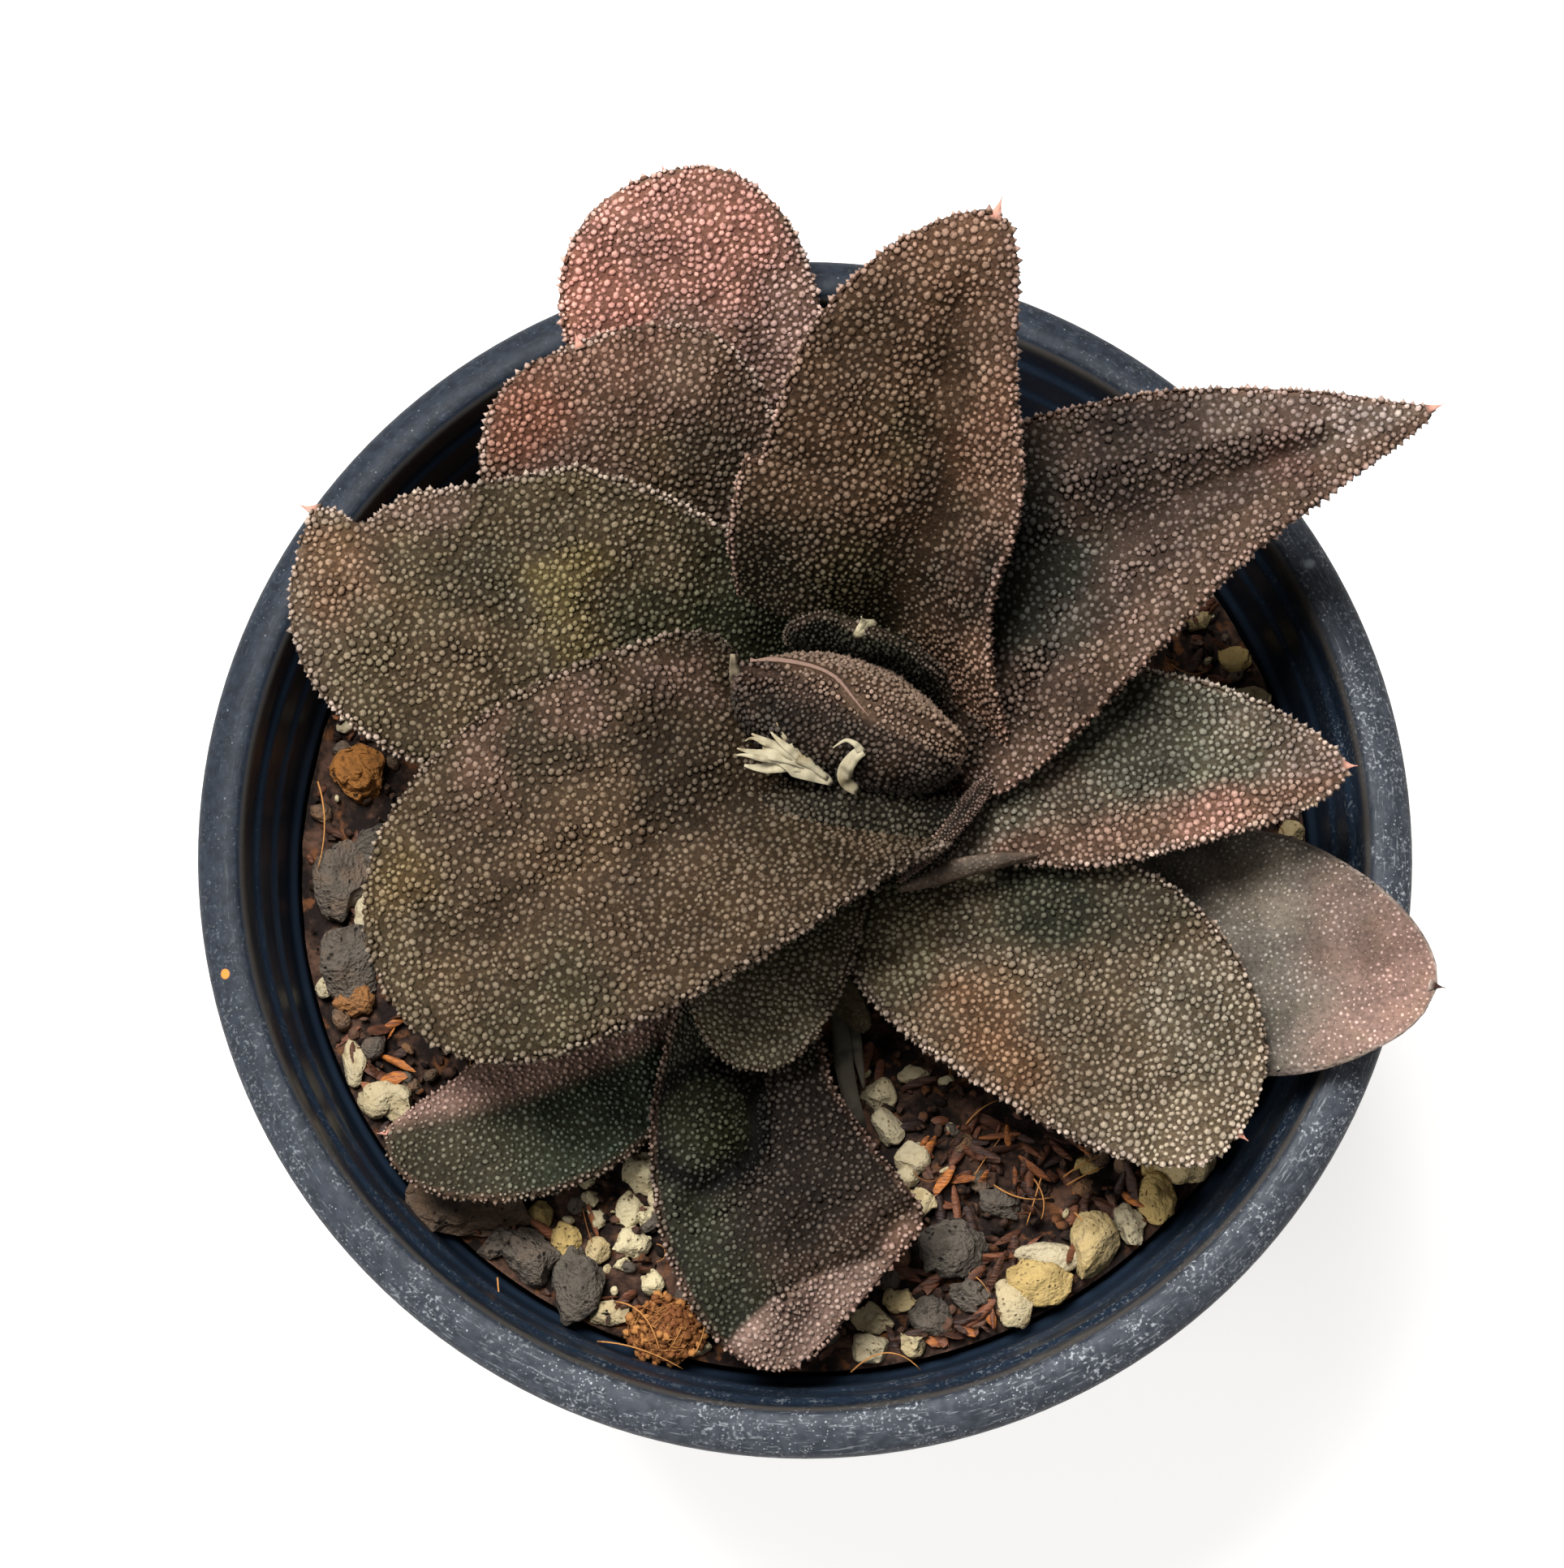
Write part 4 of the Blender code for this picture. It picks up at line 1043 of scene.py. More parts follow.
LEAVES = {
    "leaf_back": dict(
        spine=[(2.0, 15.2, 68.3), (-2.5, 27.0, 71.6), (-8.0, 44.0, 82.4), (-12.3, 57.6, 87.8)],
        half=(12.5, 10.0), widest=0.74, blunt=(2.3, 2.2), foot=(0.3, 0.3), swell=1.5, thick=4.0,
        rise=(0.5, 0.5, -0.5), wave=0.5),
    "leaf_back_left": dict(
        spine=[(-0.3, 14.4, 72.0), (-7.9, 25.3, 77.8), (-14.8, 32.6, 83.9), (-19.6, 42.0, 88.0)],
        half=(13.2, 12.9), widest=0.70, blunt=(2.3, 2.6), foot=(0.3, 0.3), swell=1.8, thick=3.6,
        rise=(-0.5, 0.5, 0.0), wave=0.5),
    "leaf_left": dict(
        spine=[(-3.6, 11.8, 75.2), (-11.4, 17.6, 82.8), (-24.0, 21.0, 87.7), (-42.0, 26.6, 89.5)],
        half=(18.2, 10.6), widest=0.55, blunt=(2.6, 1.0), foot=(0.52, 0.85), swell=1.0, thick=4.6,
        rise=(0.0, 1.0, 0.0), wave=0.6, notch=(1, 0.905, 0.04, 0.22),
        folds=[((0.40, 0.75, 0.50, -0.30), 2.0, 0.7), ((0.54, 0.7, 0.60, -0.4), 2.4, -0.6)]),
    "leaf_front_left": dict(
        spine=[(-1.2, 5.0, 78.0), (-3.0, 3.8, 87.4), (-12.0, -1.5, 91.0), (-24.5, -7.5, 91.0),
               (-36.0, -12.5, 87.0)],
        half=(14.2, 16.0), widest=0.50, blunt=(2.6, 2.1), foot=(0.75, 0.75), swell=1.0, thick=5.6,
        rise=(12.0, 0.4, -1.0), wave=0.9,
        folds=[((0.25, 0.1, 0.75, 0.25), 5.0, -0.9)]),
    "leaf_upright": dict(
        spine=[(7.1, 15.7, 84.0), (9.6, 19.1, 92.0), (12.4, 24.6, 98.5), (12.4, 34.5, 106.5),
               (15.1, 44.8, 112.0)],
        half=(17.8, 5.3), widest=0.36, blunt=(1.55, 2.2), foot=(0.75, 2.7), swell=1.0, thick=5.0,
        rise=(2.0, 3.0, 1.0), wave=0.7,
        folds=[((0.05, 0.10, 0.80, 0.04), 2.8, -1.3), ((0.1, 0.55, 0.6, 0.45), 4.0, 0.8)]),
    "leaf_right_back": dict(
        spine=[(9.8, 5.2, 77.2), (15.0, 6.3, 84.9), (23.8, 15.5, 91.5), (35.0, 25.0, 96.5),
               (51.2, 31.6, 102.5)],
        half=(23.0, 5.5), widest=0.42, blunt=(0.93, 1.7), foot=(0.85, 0.3), swell=1.15, thick=4.0,
        rise=(-6.0, 1.6, 1.5), wave=0.6,
        folds=[((0.22, 0.30, 0.80, 0.13), 3.4, -1.6), ((0.55, 0.55, 0.8, 0.35), 3.0, 0.6)]),
    "leaf_right": dict(
        spine=[(6.5, -3.2, 77.0), (15.0, 0.2, 82.0), (28.0, 3.6, 86.5), (45.5, 4.4, 89.5)],
        half=(10.5, 6.6), widest=0.52, blunt=(1.3, 2.0), foot=(0.28, 0.2), swell=3.2, thick=3.4,
        rise=(-1.0, 1.0, 1.0), wave=0.5, folds=[((0.5, 0.3, 0.85, 0.1), 3.0, -0.6)]),
    "leaf_front_right": dict(
        spine=[(5.4, 1.1, 72.5), (9.6, -8.0, 79.0), (22.0, -15.5, 84.2), (36.4, -25.8, 82.9)],
        half=(13.8, 9.3), widest=0.60, blunt=(2.0, 2.3), foot=(0.3, 0.4), swell=1.4, thick=4.5,
        rise=(0.0, 0.5, 0.5), wave=0.6),
    "leaf_far_right": dict(
        spine=[(9.6, 4.4, 67.7), (22.0, -2.5, 71.0), (38.0, -9.0, 78.8), (52.8, -13.8, 86.4)],
        half=(10.1, 11.6), widest=0.66, blunt=(1.7, 1.8), foot=(0.3, 0.3), swell=1.5, thick=3.4,
        rise=(0.0, 0.0, 0.0), wave=0.3, relief=0.4, bare_edge=0.5),
    "leaf_front": dict(
        spine=[(3.6, 1.2, 68.9), (-1.6, -12.0, 72.4), (-4.0, -24.0, 75.5), (-1.9, -33.5, 77.0),
               (3.8, -40.7, 76.3)],
        half=(11.0, 9.9), widest=0.82, blunt=(7.0, 3.2), foot=(0.14, 0.8), swell=3.4, thick=4.2,
        rise=(0.5, -1.5, -0.5), wave=0.5,
        folds=[((0.34, -0.50, 0.58, -0.52), 3.2, 2.6), ((0.40, 0.04, 0.64, -0.10), 1.4, -1.8),
               ((0.66, -0.16, 0.71, -0.62), 1.3, -1.8), ((0.98, -0.95, 0.90, -0.30), 1.6, 1.3),
               ((0.90, -0.30, 0.88, 0.95), 1.6, 1.3)]),
    "leaf_front_small": dict(
        spine=[(2.3, 3.3, 73.2), (-0.6, -6.0, 78.0), (-3.4, -14.0, 80.5), (-4.2, -20.2, 80.0)],
        half=(6.0, 7.4), widest=0.60, blunt=(2.2, 2.0), foot=(0.5, 0.5), swell=1.0, thick=3.2,
        rise=(0.5, 0.5, 0.0), wave=0.3),
    "leaf_low_left": dict(
        spine=[(-2.3, 4.4, 67.9), (-12.9, -9.8, 69.6), (-22.5, -21.2, 73.8), (-36.2, -25.2, 77.0)],
        half=(9.0, 7.0), widest=0.58, blunt=(2.3, 1.4), foot=(0.3, 0.3), swell=1.5, thick=3.4,
        rise=(0.0, 0.5, 0.5), wave=0.4),
    "leaf_stub": dict(
        spine=[(6.4, 0.9, 65.8), (8.6, -8.0, 68.2), (9.0, -16.0, 70.7)],
        half=(3.0, 2.6), widest=0.55, blunt=(2.0, 2.0), foot=(0.6, 0.6), swell=1.0, thick=1.6,
        rise=(0.5, 0.5, 1.0), wave=0.0),
    "leaf_front_left_heel": dict(
        spine=[(13.6, 0.9, 86.4), (9.0, -0.6, 88.2), (3.0, 0.2, 89.4), (-4.0, 1.8, 88.6)],
        half=(5.0, 2.9), widest=0.50, blunt=(2.0, 2.0), foot=(0.35, 0.5), swell=1.0, thick=4.5,
        rise=(-2.5, 0.4, -1.0), wave=0.6),
    "leaf_right_back_foot": dict(
        spine=[(7.5, -5.2, 87.2), (10.4, -2.5, 87.7), (13.0, 0.5, 87.4), (15.8, 4.4, 85.8)],
        half=(0.85, 0.85), widest=0.65, blunt=(2.0, 2.0), foot=(0.15, 0.15), swell=1.0, thick=1.4,
        rise=(-0.3, -0.3, -0.3), wave=0.1),
    "leaf_right_neck": dict(
        spine=[(7.7, -5.4, 85.2), (11.0, -4.1, 85.2), (15.0, -3.1, 85.2), (19.8, -2.4, 85.0)],
        half=(0.9, 0.9), widest=0.35, blunt=(1.6, 1.6), foot=(0.3, 0.3), swell=1.0, thick=1.8,
        rise=(-0.4, -0.4, -0.4), wave=0.15),
    "leaf_shed": dict(
        spine=[(-1.4, -7.2, 76.0), (2.0, -11.6, 74.6), (5.4, -15.9, 72.6)],
        half=(1.7, 1.5), widest=0.55, blunt=(2.0, 2.0), foot=(0.6, 0.6), swell=1.0, thick=1.4,
        rise=(0.5, 0.5, 1.0), wave=0.2),
    "young_leaf_back": dict(
        spine=[(5.6, 12.7, 83.2), (5.5, 13.9, 88.5), (4.8, 15.3, 94.4)],
        half=(7.8, 7.3), widest=0.35, blunt=(2.2, 2.2), foot=(0.55, 0.55), swell=1.0, thick=1.4,
        rise=(0.5, 0.5, 0.3), wave=0.0, facing=(0.38, 0.925)),
    "young_leaf_centre": dict(
        spine=[(3.7, 9.2, 82.0), (3.5, 9.1, 88.0), (3.4, 9.4, 95.0)],
        half=(9.6, 10.4), widest=0.62, blunt=(2.6, 2.6), foot=(0.8, 0.8), swell=1.0, thick=4.6, crown=6.2,
        rise=(0.0, 0.0, 0.0), wave=0.3, facing=(0.34, 0.94), smooth_belly=0.0,
        crest=([(-4.6, 12.8), (-0.9, 12.3), (2.4, 10.8), (4.2, 8.6), (5.4, 7.2)], 0.42)),
}
print("leaves:", len(LEAVES))


# %% The outline of a leaf
def base_cap(share):
    """From 0 at the very base to 1 a little way up, along a quarter of a circle."""
    return np.sqrt(1 - (1 - np.minimum(1.0, share / BASE_ROUNDING)) ** 2)


def outline(share, leaf, side):
    """Half width at a share of the length, as a share of the full half width on that side."""
    swell = np.sin(math.pi / 2 * np.minimum(1.0, share / leaf["widest"])) ** leaf["swell"]
    widening = base_cap(share) * (leaf["foot"][side] + (1 - leaf["foot"][side]) * swell)
    rest = np.clip((share - leaf["widest"]) / (1 - leaf["widest"]), 0.0, 1.0)
    blunt = leaf["blunt"][side]
    width = np.where(share < leaf["widest"], widening, (1 - rest ** blunt) ** (1 / blunt))
    notch_side, notch_share, notch_length, depth = leaf.get("notch", (None, 0, 1, 0))
    if notch_side == side:
        width = width - np.minimum(width, depth * np.exp(-((share - notch_share) / notch_length) ** 2))
    return width


def leaf_across(around):
    """From 1 at the leaf's left edge to -1 at its right edge, for an angle around its section."""
    return 0.6 * (1 - 2 * np.abs(around) / math.pi) + 0.4 * np.cos(around)


def leaf_sides(leaf, share, across):
    """The outline and the full half width on the side where each place lies."""
    on_left = across > 0
    spread = np.where(on_left, outline(share, leaf, 0), outline(share, leaf, 1))
    return spread, np.where(on_left, *leaf["half"])


def leaf_length(leaf):
    """Length of a leaf along the straight stretches of its line."""
    return np.linalg.norm(np.diff(np.array(leaf["spine"]), axis=0), axis=1).sum()


def edge_distance(leaf, share, around):
    """About how far a place on the leaf lies from its margin, in millimetres."""
    across = leaf_across(around)
    spread, half = leaf_sides(leaf, share, across)
    return np.minimum((1 - np.abs(across)) * spread * half, (1 - share) * leaf_length(leaf))


print("length of leaf_left in mm:", round(leaf_length(LEAVES["leaf_left"]), 1))


# %% The skin of a leaf
def folded(leaf, share, across):
    """How far the folds of a leaf raise it. A fold runs between two places, as share of length and width."""
    length = leaf_length(leaf)
    spot = np.column_stack((share * length, across * np.where(across > 0, *leaf["half"])))
    lift = np.zeros(len(share))
    for (share_0, across_0, share_1, across_1), width, height in leaf.get("folds", ()):
        start = np.array([share_0 * length, across_0 * leaf["half"][across_0 < 0]])
        run = np.array([share_1 * length, across_1 * leaf["half"][across_1 < 0]]) - start
        along_it = np.clip((spot - start) @ run / (run @ run), 0, 1)
        away = np.linalg.norm(spot - start - along_it[:, None] * run, axis=1)
        lift += height * np.exp(-(away / width) ** 2)
    return lift


def section_height(leaf, share, across, around):
    """Height of the skin over the middle surface of the leaf: a low crown above, a full belly below."""
    round_off = np.sqrt(np.maximum(0.0, 1 - across**2))
    fullness = 0.55 + 0.45 * np.sin(math.pi * np.minimum(1.0, share / 0.85))
    belly = (leaf["thick"] - EDGE_THICKNESS) * fullness
    return np.where(around >= 0, leaf.get("crown", USUAL_CROWN) * round_off**0.7,
                    -(EDGE_THICKNESS * round_off**0.5 + belly * round_off**2.4))


def leaf_points(leaf, share, around, waves=True):
    """Points of the leaf's skin: share of the length, and angle round from the left edge over the top."""
    run = np.array(leaf["spine"][-1]) - np.array(leaf["spine"][0])
    facing = leaf.get("facing", run[:2] / np.linalg.norm(run[:2]))
    middle, heading = along(leaf["spine"], share)
    left = np.array([-facing[1], facing[0], 0.0])
    left = left - heading * (heading @ left)[:, None]
    left /= np.linalg.norm(left, axis=1)[:, None]
    up = np.cross(heading, left)
    across = leaf_across(around)
    spread, half = leaf_sides(leaf, share, across)
    cap = base_cap(share) * np.sqrt(1 - share**8)
    rise_foot = np.where(across > 0, leaf["rise"][0], leaf["rise"][1])
    rise = rise_foot + (leaf["rise"][2] - rise_foot) * share * share * (3 - 2 * share)
    spots = middle + left * (across * spread * half)[:, None]
    lift = (section_height(leaf, share, across, around) * cap
            + rise * np.abs(across) ** 1.5 * spread + folded(leaf, share, across))
    if waves:
        lift = lift + [leaf["wave"] * noise.noise(Vector(spot) / WAVE_LENGTH)
                       + RIPPLE * noise.noise(Vector(spot) / RIPPLE_LENGTH) for spot in spots]
    return spots + up * lift[:, None]


halfway = leaf_points(LEAVES["leaf_left"], np.full(2, 0.5), np.array([0.0, math.pi]))
print("leaf_left from edge to edge half way along, in mm:", np.round(np.ptp(halfway, axis=0), 1))

# %% [markdown]
# ## The leaves: warts
# The warts are what makes this plant: pale round beads about a millimetre wide, large and small mixed,
# packed almost edge to edge over the whole leaf, a little sparser at its base, and standing out as a fine
# saw along its margins, where they are slimmer and taller. Bump in the material could not show that, so
# every wart is a real shape. A round bead would cost too many faces for tens of thousands of them, so a
# wart is a six-sided cap that is sunk a little into the skin, and smooth shading makes it look round.
# The warts are thrown at the leaf at random, and one that lands too near another is dropped, which gives
# an even but unordered cover.

# %% One wart
WART_SIDES = 6


def make_wart():
    """A pointed cap with a flat bottom, one millimetre in radius. Smooth shading makes it look round."""
    bm = bmesh.new()
    bmesh.ops.create_cone(bm, cap_ends=True, segments=WART_SIDES, radius1=1, radius2=0, depth=1)
    bmesh.ops.translate(bm, verts=bm.verts, vec=(0, 0, 0.5))
    bmesh.ops.recalc_face_normals(bm, faces=bm.faces)
    return shape_of(bm)


WART = make_wart()
print("triangles in a wart:", len(WART[1]))

# %% Throw the warts at a leaf
SHARE_STEP = 0.004
ANGLE_STEP = 0.02
THROWS = 70000
SPARSE_BELOW = 0.3
BENEATH_SPARSER = 1.2
# How far a wart is sunk, as a share of its radius. Near the margin it is slimmer and taller by these shares
WART_SUNK = 0.30
MARGIN_REACH = 1.3
MARGIN_WARTS = 0.80
MARGIN_TALLER = 0.4
CREST_BARE = 0.5


def leaf_frame(leaf, share, around):
    """The outward direction at places on the skin, and the area that a step covers there."""
    share = np.clip(share, SHARE_STEP, 1 - SHARE_STEP)
    onward = (leaf_points(leaf, share + SHARE_STEP, around, waves=False)
              - leaf_points(leaf, share - SHARE_STEP, around, waves=False))
    round_it = (leaf_points(leaf, share, around + ANGLE_STEP, waves=False)
                - leaf_points(leaf, share, around - ANGLE_STEP, waves=False))
    outward = np.cross(round_it, onward)
    area = np.linalg.norm(outward, axis=1)
    return outward / np.maximum(area, 1e-9)[:, None], area


def scattered(spots, rooms):
    """The numbers of the spots whose room, a radius each, keeps clear of the room of every earlier one."""
    cell = 2 * rooms.max()
    cells = {}
    kept = []
    nearby = [(i, j, k) for i in (-1, 0, 1) for j in (-1, 0, 1) for k in (-1, 0, 1)]
    places = zip(spots.tolist(), rooms.tolist(), np.floor(spots / cell).astype(int).tolist())
    for number, ((x, y, z), room, (i, j, k)) in enumerate(places):
        clear = True
        for di, dj, dk in nearby:
            for other_x, other_y, other_z, other_room in cells.get((i + di, j + dj, k + dk), ()):
                if (x - other_x)**2 + (y - other_y)**2 + (z - other_z)**2 < (room + other_room)**2:
                    clear = False
                    break
            if not clear:
                break
        if clear:
            cells.setdefault((i, j, k), []).append((x, y, z, room))
            kept.append(number)
    return np.array(kept)


def throw_warts(leaf, size, room, rng):
    """Where the warts of a leaf lie and how large they are: share, angle, radius and height of each."""
    share = rng.uniform(0.03, 0.999, THROWS)
    around = rng.uniform(-math.pi, math.pi, THROWS)
    _, area = leaf_frame(leaf, share, around)
    landed = rng.uniform(0, np.percentile(area, 98), THROWS) < area
    landed &= (edge_distance(leaf, share, around) > leaf.get("bare_edge", 0.0)) | (share < 0.4)
    share, around = share[landed], around[landed]
    spots = leaf_points(leaf, share, around, waves=False)
    beneath = np.clip(-around / 0.5, 0, 1) * np.clip((math.pi + around) / 0.5, 0, 1)
    beneath = beneath * leaf.get("smooth_belly", 1.0)
    sparse = np.clip(1 - share / SPARSE_BELOW, 0, 1)
    margin = np.minimum(1.0, edge_distance(leaf, share, around) / MARGIN_REACH)
    radius = size * rng.uniform(0.62, 1.22, len(share)) * (1 - 0.3 * sparse)
    radius *= MARGIN_WARTS + (1 - MARGIN_WARTS) * margin
    tall = radius * (1 + MARGIN_TALLER * (1 - margin)) * leaf.get("relief", 1.0)
    kept = scattered(spots, radius * room * (1 + BENEATH_SPARSER * beneath + 0.2 * sparse))
    return share[kept], around[kept], radius[kept], tall[kept]


def clear_of_crest(leaf, spots, outward):
    """Which spots leave room for the smooth line along the top of a leaf."""
    path, _ = along([(x, y, 0.0) for x, y in leaf["crest"][0]], np.linspace(0, 1, 80))
    nearest = np.linalg.norm(spots[:, None, :2] - path[None, :, :2], axis=2).min(axis=1)
    return (nearest > CREST_BARE) | (outward[:, 2] < 0)


def wart_turns(outward, radius, tall, rng):
    """The turn and stretch of each wart, which stands along the outward direction."""
    count = len(radius)
    turn = rng.uniform(0, math.tau, count)
    side = np.cross(outward, np.where(np.abs(outward[:, 2:]) < 0.9, (0.0, 0.0, 1.0), (1.0, 0.0, 0.0)))
    side /= np.linalg.norm(side, axis=1)[:, None]
    other = np.cross(outward, side)
    first = side * np.cos(turn)[:, None] + other * np.sin(turn)[:, None]
    second = np.cross(outward, first)
    stretch = rng.uniform(0.87, 1.15, count)
    return np.stack([first * (radius * stretch)[:, None], second * (radius / stretch)[:, None],
                     outward * (tall * rng.uniform(0.8, 1.15, count))[:, None]], axis=2)


def make_warts(leaf, size, room, rng):
    """Beads over the leaf, and for each bead its share of the length, angle and tone."""
    share, around, radius, tall = throw_warts(leaf, size, room, rng)
    outward, _ = leaf_frame(leaf, share, around)
    spots = leaf_points(leaf, share, around)
    if "crest" in leaf:
        clear = clear_of_crest(leaf, spots, outward)
        share, around, radius, tall = share[clear], around[clear], radius[clear], tall[clear]
        spots, outward = spots[clear], outward[clear]
    tone = rng.uniform(0, 1, len(share))
    turns = wart_turns(outward, radius, tall, rng)
    return copies(WART, turns, spots - outward * (radius * WART_SUNK)[:, None]), share, around, tone


print("warts thrown at each leaf:", THROWS)

# %% [markdown]
# ## The leaves: finish
# Seen close, the skin between the warts is dark green to brown, and the warts are paler beads of the same
# hue. The finish also paints shade into the ground between them and on the foot of each wart, and a
# highlight on its top. Seen from a step away, each leaf has its own drift of colour: olive, rust, grey-green
# or red, paler along its margin and almost black-green in the heart, which is partly painted shade where the
# leaves overlap. One function makes every skin. It takes the colour at the base, the middle and the tip, the
# colour of the margin, and where the leaf shows them, the colour of one flank, a few soft patches by their
# place, a paler face at its end and a ring of painted shadow round a raised lobe. On some leaves a flank or a
# patch is painted light or painted shade, as noted with their colours. The ground is the same colour,
# darkened by a tint that is partly painted shade.

# %% A finish for a leaf
PATCH_WARP = 0.006
WART_CREAM = rgb(205, 192, 174)
RUST_TINT = (1.0, 0.85, 0.75, 1.0)
OLIVE_TINT = (0.88, 0.96, 0.70, 1.0)
GROUND_TINT_AND_SHADE = (0.34, 0.30, 0.25, 1.0)
WART_FOOT_TINT_AND_SHADE = (0.70, 0.66, 0.61, 1.0)
HORN = rgb(180, 128, 112)


def lengthwise(finish, skin):
    """The colours at the base, the middle and the tip of a leaf, and on one flank, drifting together."""
    share = finish.attribute("share")
    drift = finish.noise(95, 3) - 0.5
    colour = finish.mix(skin["base"], skin["middle"],
                        finish.step(share + drift * 0.35, skin.get("turns", 0.12), skin.get("turned", 0.42)))
    tip_share = finish.step(share + drift * 0.3, *skin.get("tip_from", (0.72, 1.0)))
    colour = finish.mix(colour, skin["tip"], tip_share)
    if "flank" in skin:
        side, flank_colour, low, high = skin["flank"]
        colour = finish.mix(colour, flank_colour, finish.step(finish.attribute("across") * side, low, high))
    return colour


def patched(finish, colour, patches):
    """The colour with soft patches, each given as x, y, radius, colour and amount, their outlines warped."""
    swirl = finish.noise(120, 2, output=1)
    shifted = finish.node("ShaderNodeVectorMath", {"operation": "MULTIPLY_ADD"}, swirl,
                          (PATCH_WARP * 2,) * 3, finish.place)
    flat = finish.level(shifted)
    for x, y, radius, patch_colour, amount in patches:
        away = finish.away(flat, x + PATCH_WARP / MM, y + PATCH_WARP / MM, 0)
        near = finish.step(away, radius * MM * 1.25, radius * MM * 0.35)
        colour = finish.mix(colour, patch_colour, near * amount)
    return colour


def face_share(finish, skin):
    """One inside the circle, seen from above, that bounds the paler face at a leaf's end."""
    x, y, radius, soft, _ = skin["end_face"]
    return finish.step(finish.away(finish.level(finish.place), x, y, 0),
                       (radius + soft) * MM, (radius - soft) * MM)


def leaf_colour(finish, skin):
    """The drift of colour over one leaf, before its ground and its warts are parted."""
    colour = patched(finish, lengthwise(finish, skin), skin.get("patches", ()))
    if "end_face" in skin:
        colour = finish.mix(colour, skin["end_face"][4], face_share(finish, skin))
    # A near-black ring of painted shadow round a raised lobe.
    if "shadow_ring" in skin:
        x, y, radius, width, shadow_ring_colour = skin["shadow_ring"]
        away = finish.away(finish.level(finish.place), x, y, 0)
        off = away.maths("ABSOLUTE", away - radius * MM)
        colour = finish.mix(colour, shadow_ring_colour, finish.step(off, width * MM, width * 0.2 * MM) * 0.92)
    broken = 0.5 + finish.step(finish.noise(300, 3), 0.40, 0.62) * 0.5
    margin = finish.step(finish.attribute("edge"), skin.get("margin_width", 0.9), 0.1)
    return finish.mix(colour, skin["margin"], margin * broken * skin.get("margin_share", 0.55))


def mottled(finish, colour):
    """The colour with faint rusty, olive and dark blotches, a few millimetres across."""
    colour = finish.mix(colour, RUST_TINT, finish.step(finish.noise(420, 3), 0.50, 0.75) * 0.25, "MULTIPLY")
    colour = finish.mix(colour, OLIVE_TINT, finish.step(finish.noise(360, 3), 0.48, 0.72) * 0.25, "MULTIPLY")
    return finish.mix(colour, BLACK, finish.step(finish.noise(260, 4), 0.60, 0.36) * 0.30)


def leaf_finish(name, skin):
    """Leaf skin in the colours of one leaf: a dark ground, and a paler foot and pale top to each wart, partly
    painted shade and painted highlight.
    """
    finish = Finish(name, specular_ior_level=0.06, coat_roughness=0.28)
    wart = finish.attribute("wart")
    tone = finish.attribute("tone")
    colour = mottled(finish, leaf_colour(finish, skin))
    tint = skin.get("ground", GROUND_TINT_AND_SHADE)
    if "face_ground" in skin:
        tint = finish.mix(tint, skin["face_ground"], face_share(finish, skin))
    # Painted shade: the ground between the warts is darkened, partly the skin's own colour and partly the
    # shade in the gaps; the foot of each wart is darkened less.
    ground = finish.mix(colour, tint, 1.0, "MULTIPLY")
    flank = finish.mix(colour, WART_FOOT_TINT_AND_SHADE, 1.0, "MULTIPLY")
    bead = finish.mix(colour, colour, tone * 0.45, "ADD")
    bead = finish.mix(bead, WART_CREAM, tone * 0.06)
    grain = finish.noise(2800, 3)
    pebbles = finish.cells(2400)
    granules = finish.step(pebbles, 0.42, 0.14) * 0.75
    raised = granules.maths("MAXIMUM", granules, finish.step(wart, 0.20, 0.40))
    skin_colour = finish.mix(ground, flank, raised)
    # Painted highlight: the upper part of each wart is paler, partly its own pale colour and partly light on
    # its top.
    skin_colour = finish.mix(skin_colour, bead, finish.step(wart, 0.28, 0.56))
    skin_colour = finish.mix(skin_colour, BLACK, finish.step(grain, 0.56, 0.36) * 0.30)
    skin_colour = finish.mix(skin_colour, skin.get("horn", HORN), finish.attribute("point"))
    finish.put(finish.shader.inputs["Coat Weight"], wart * 0.10)
    return finish.feed(skin_colour, roughness=0.66 - wart * 0.12 + (grain - 0.5) * 0.2,
                       bump=grain - pebbles * 0.8, strength=0.55, depth=0.00018)


print("the ground keeps this share of the leaf's colour:", GROUND_TINT_AND_SHADE[:3])
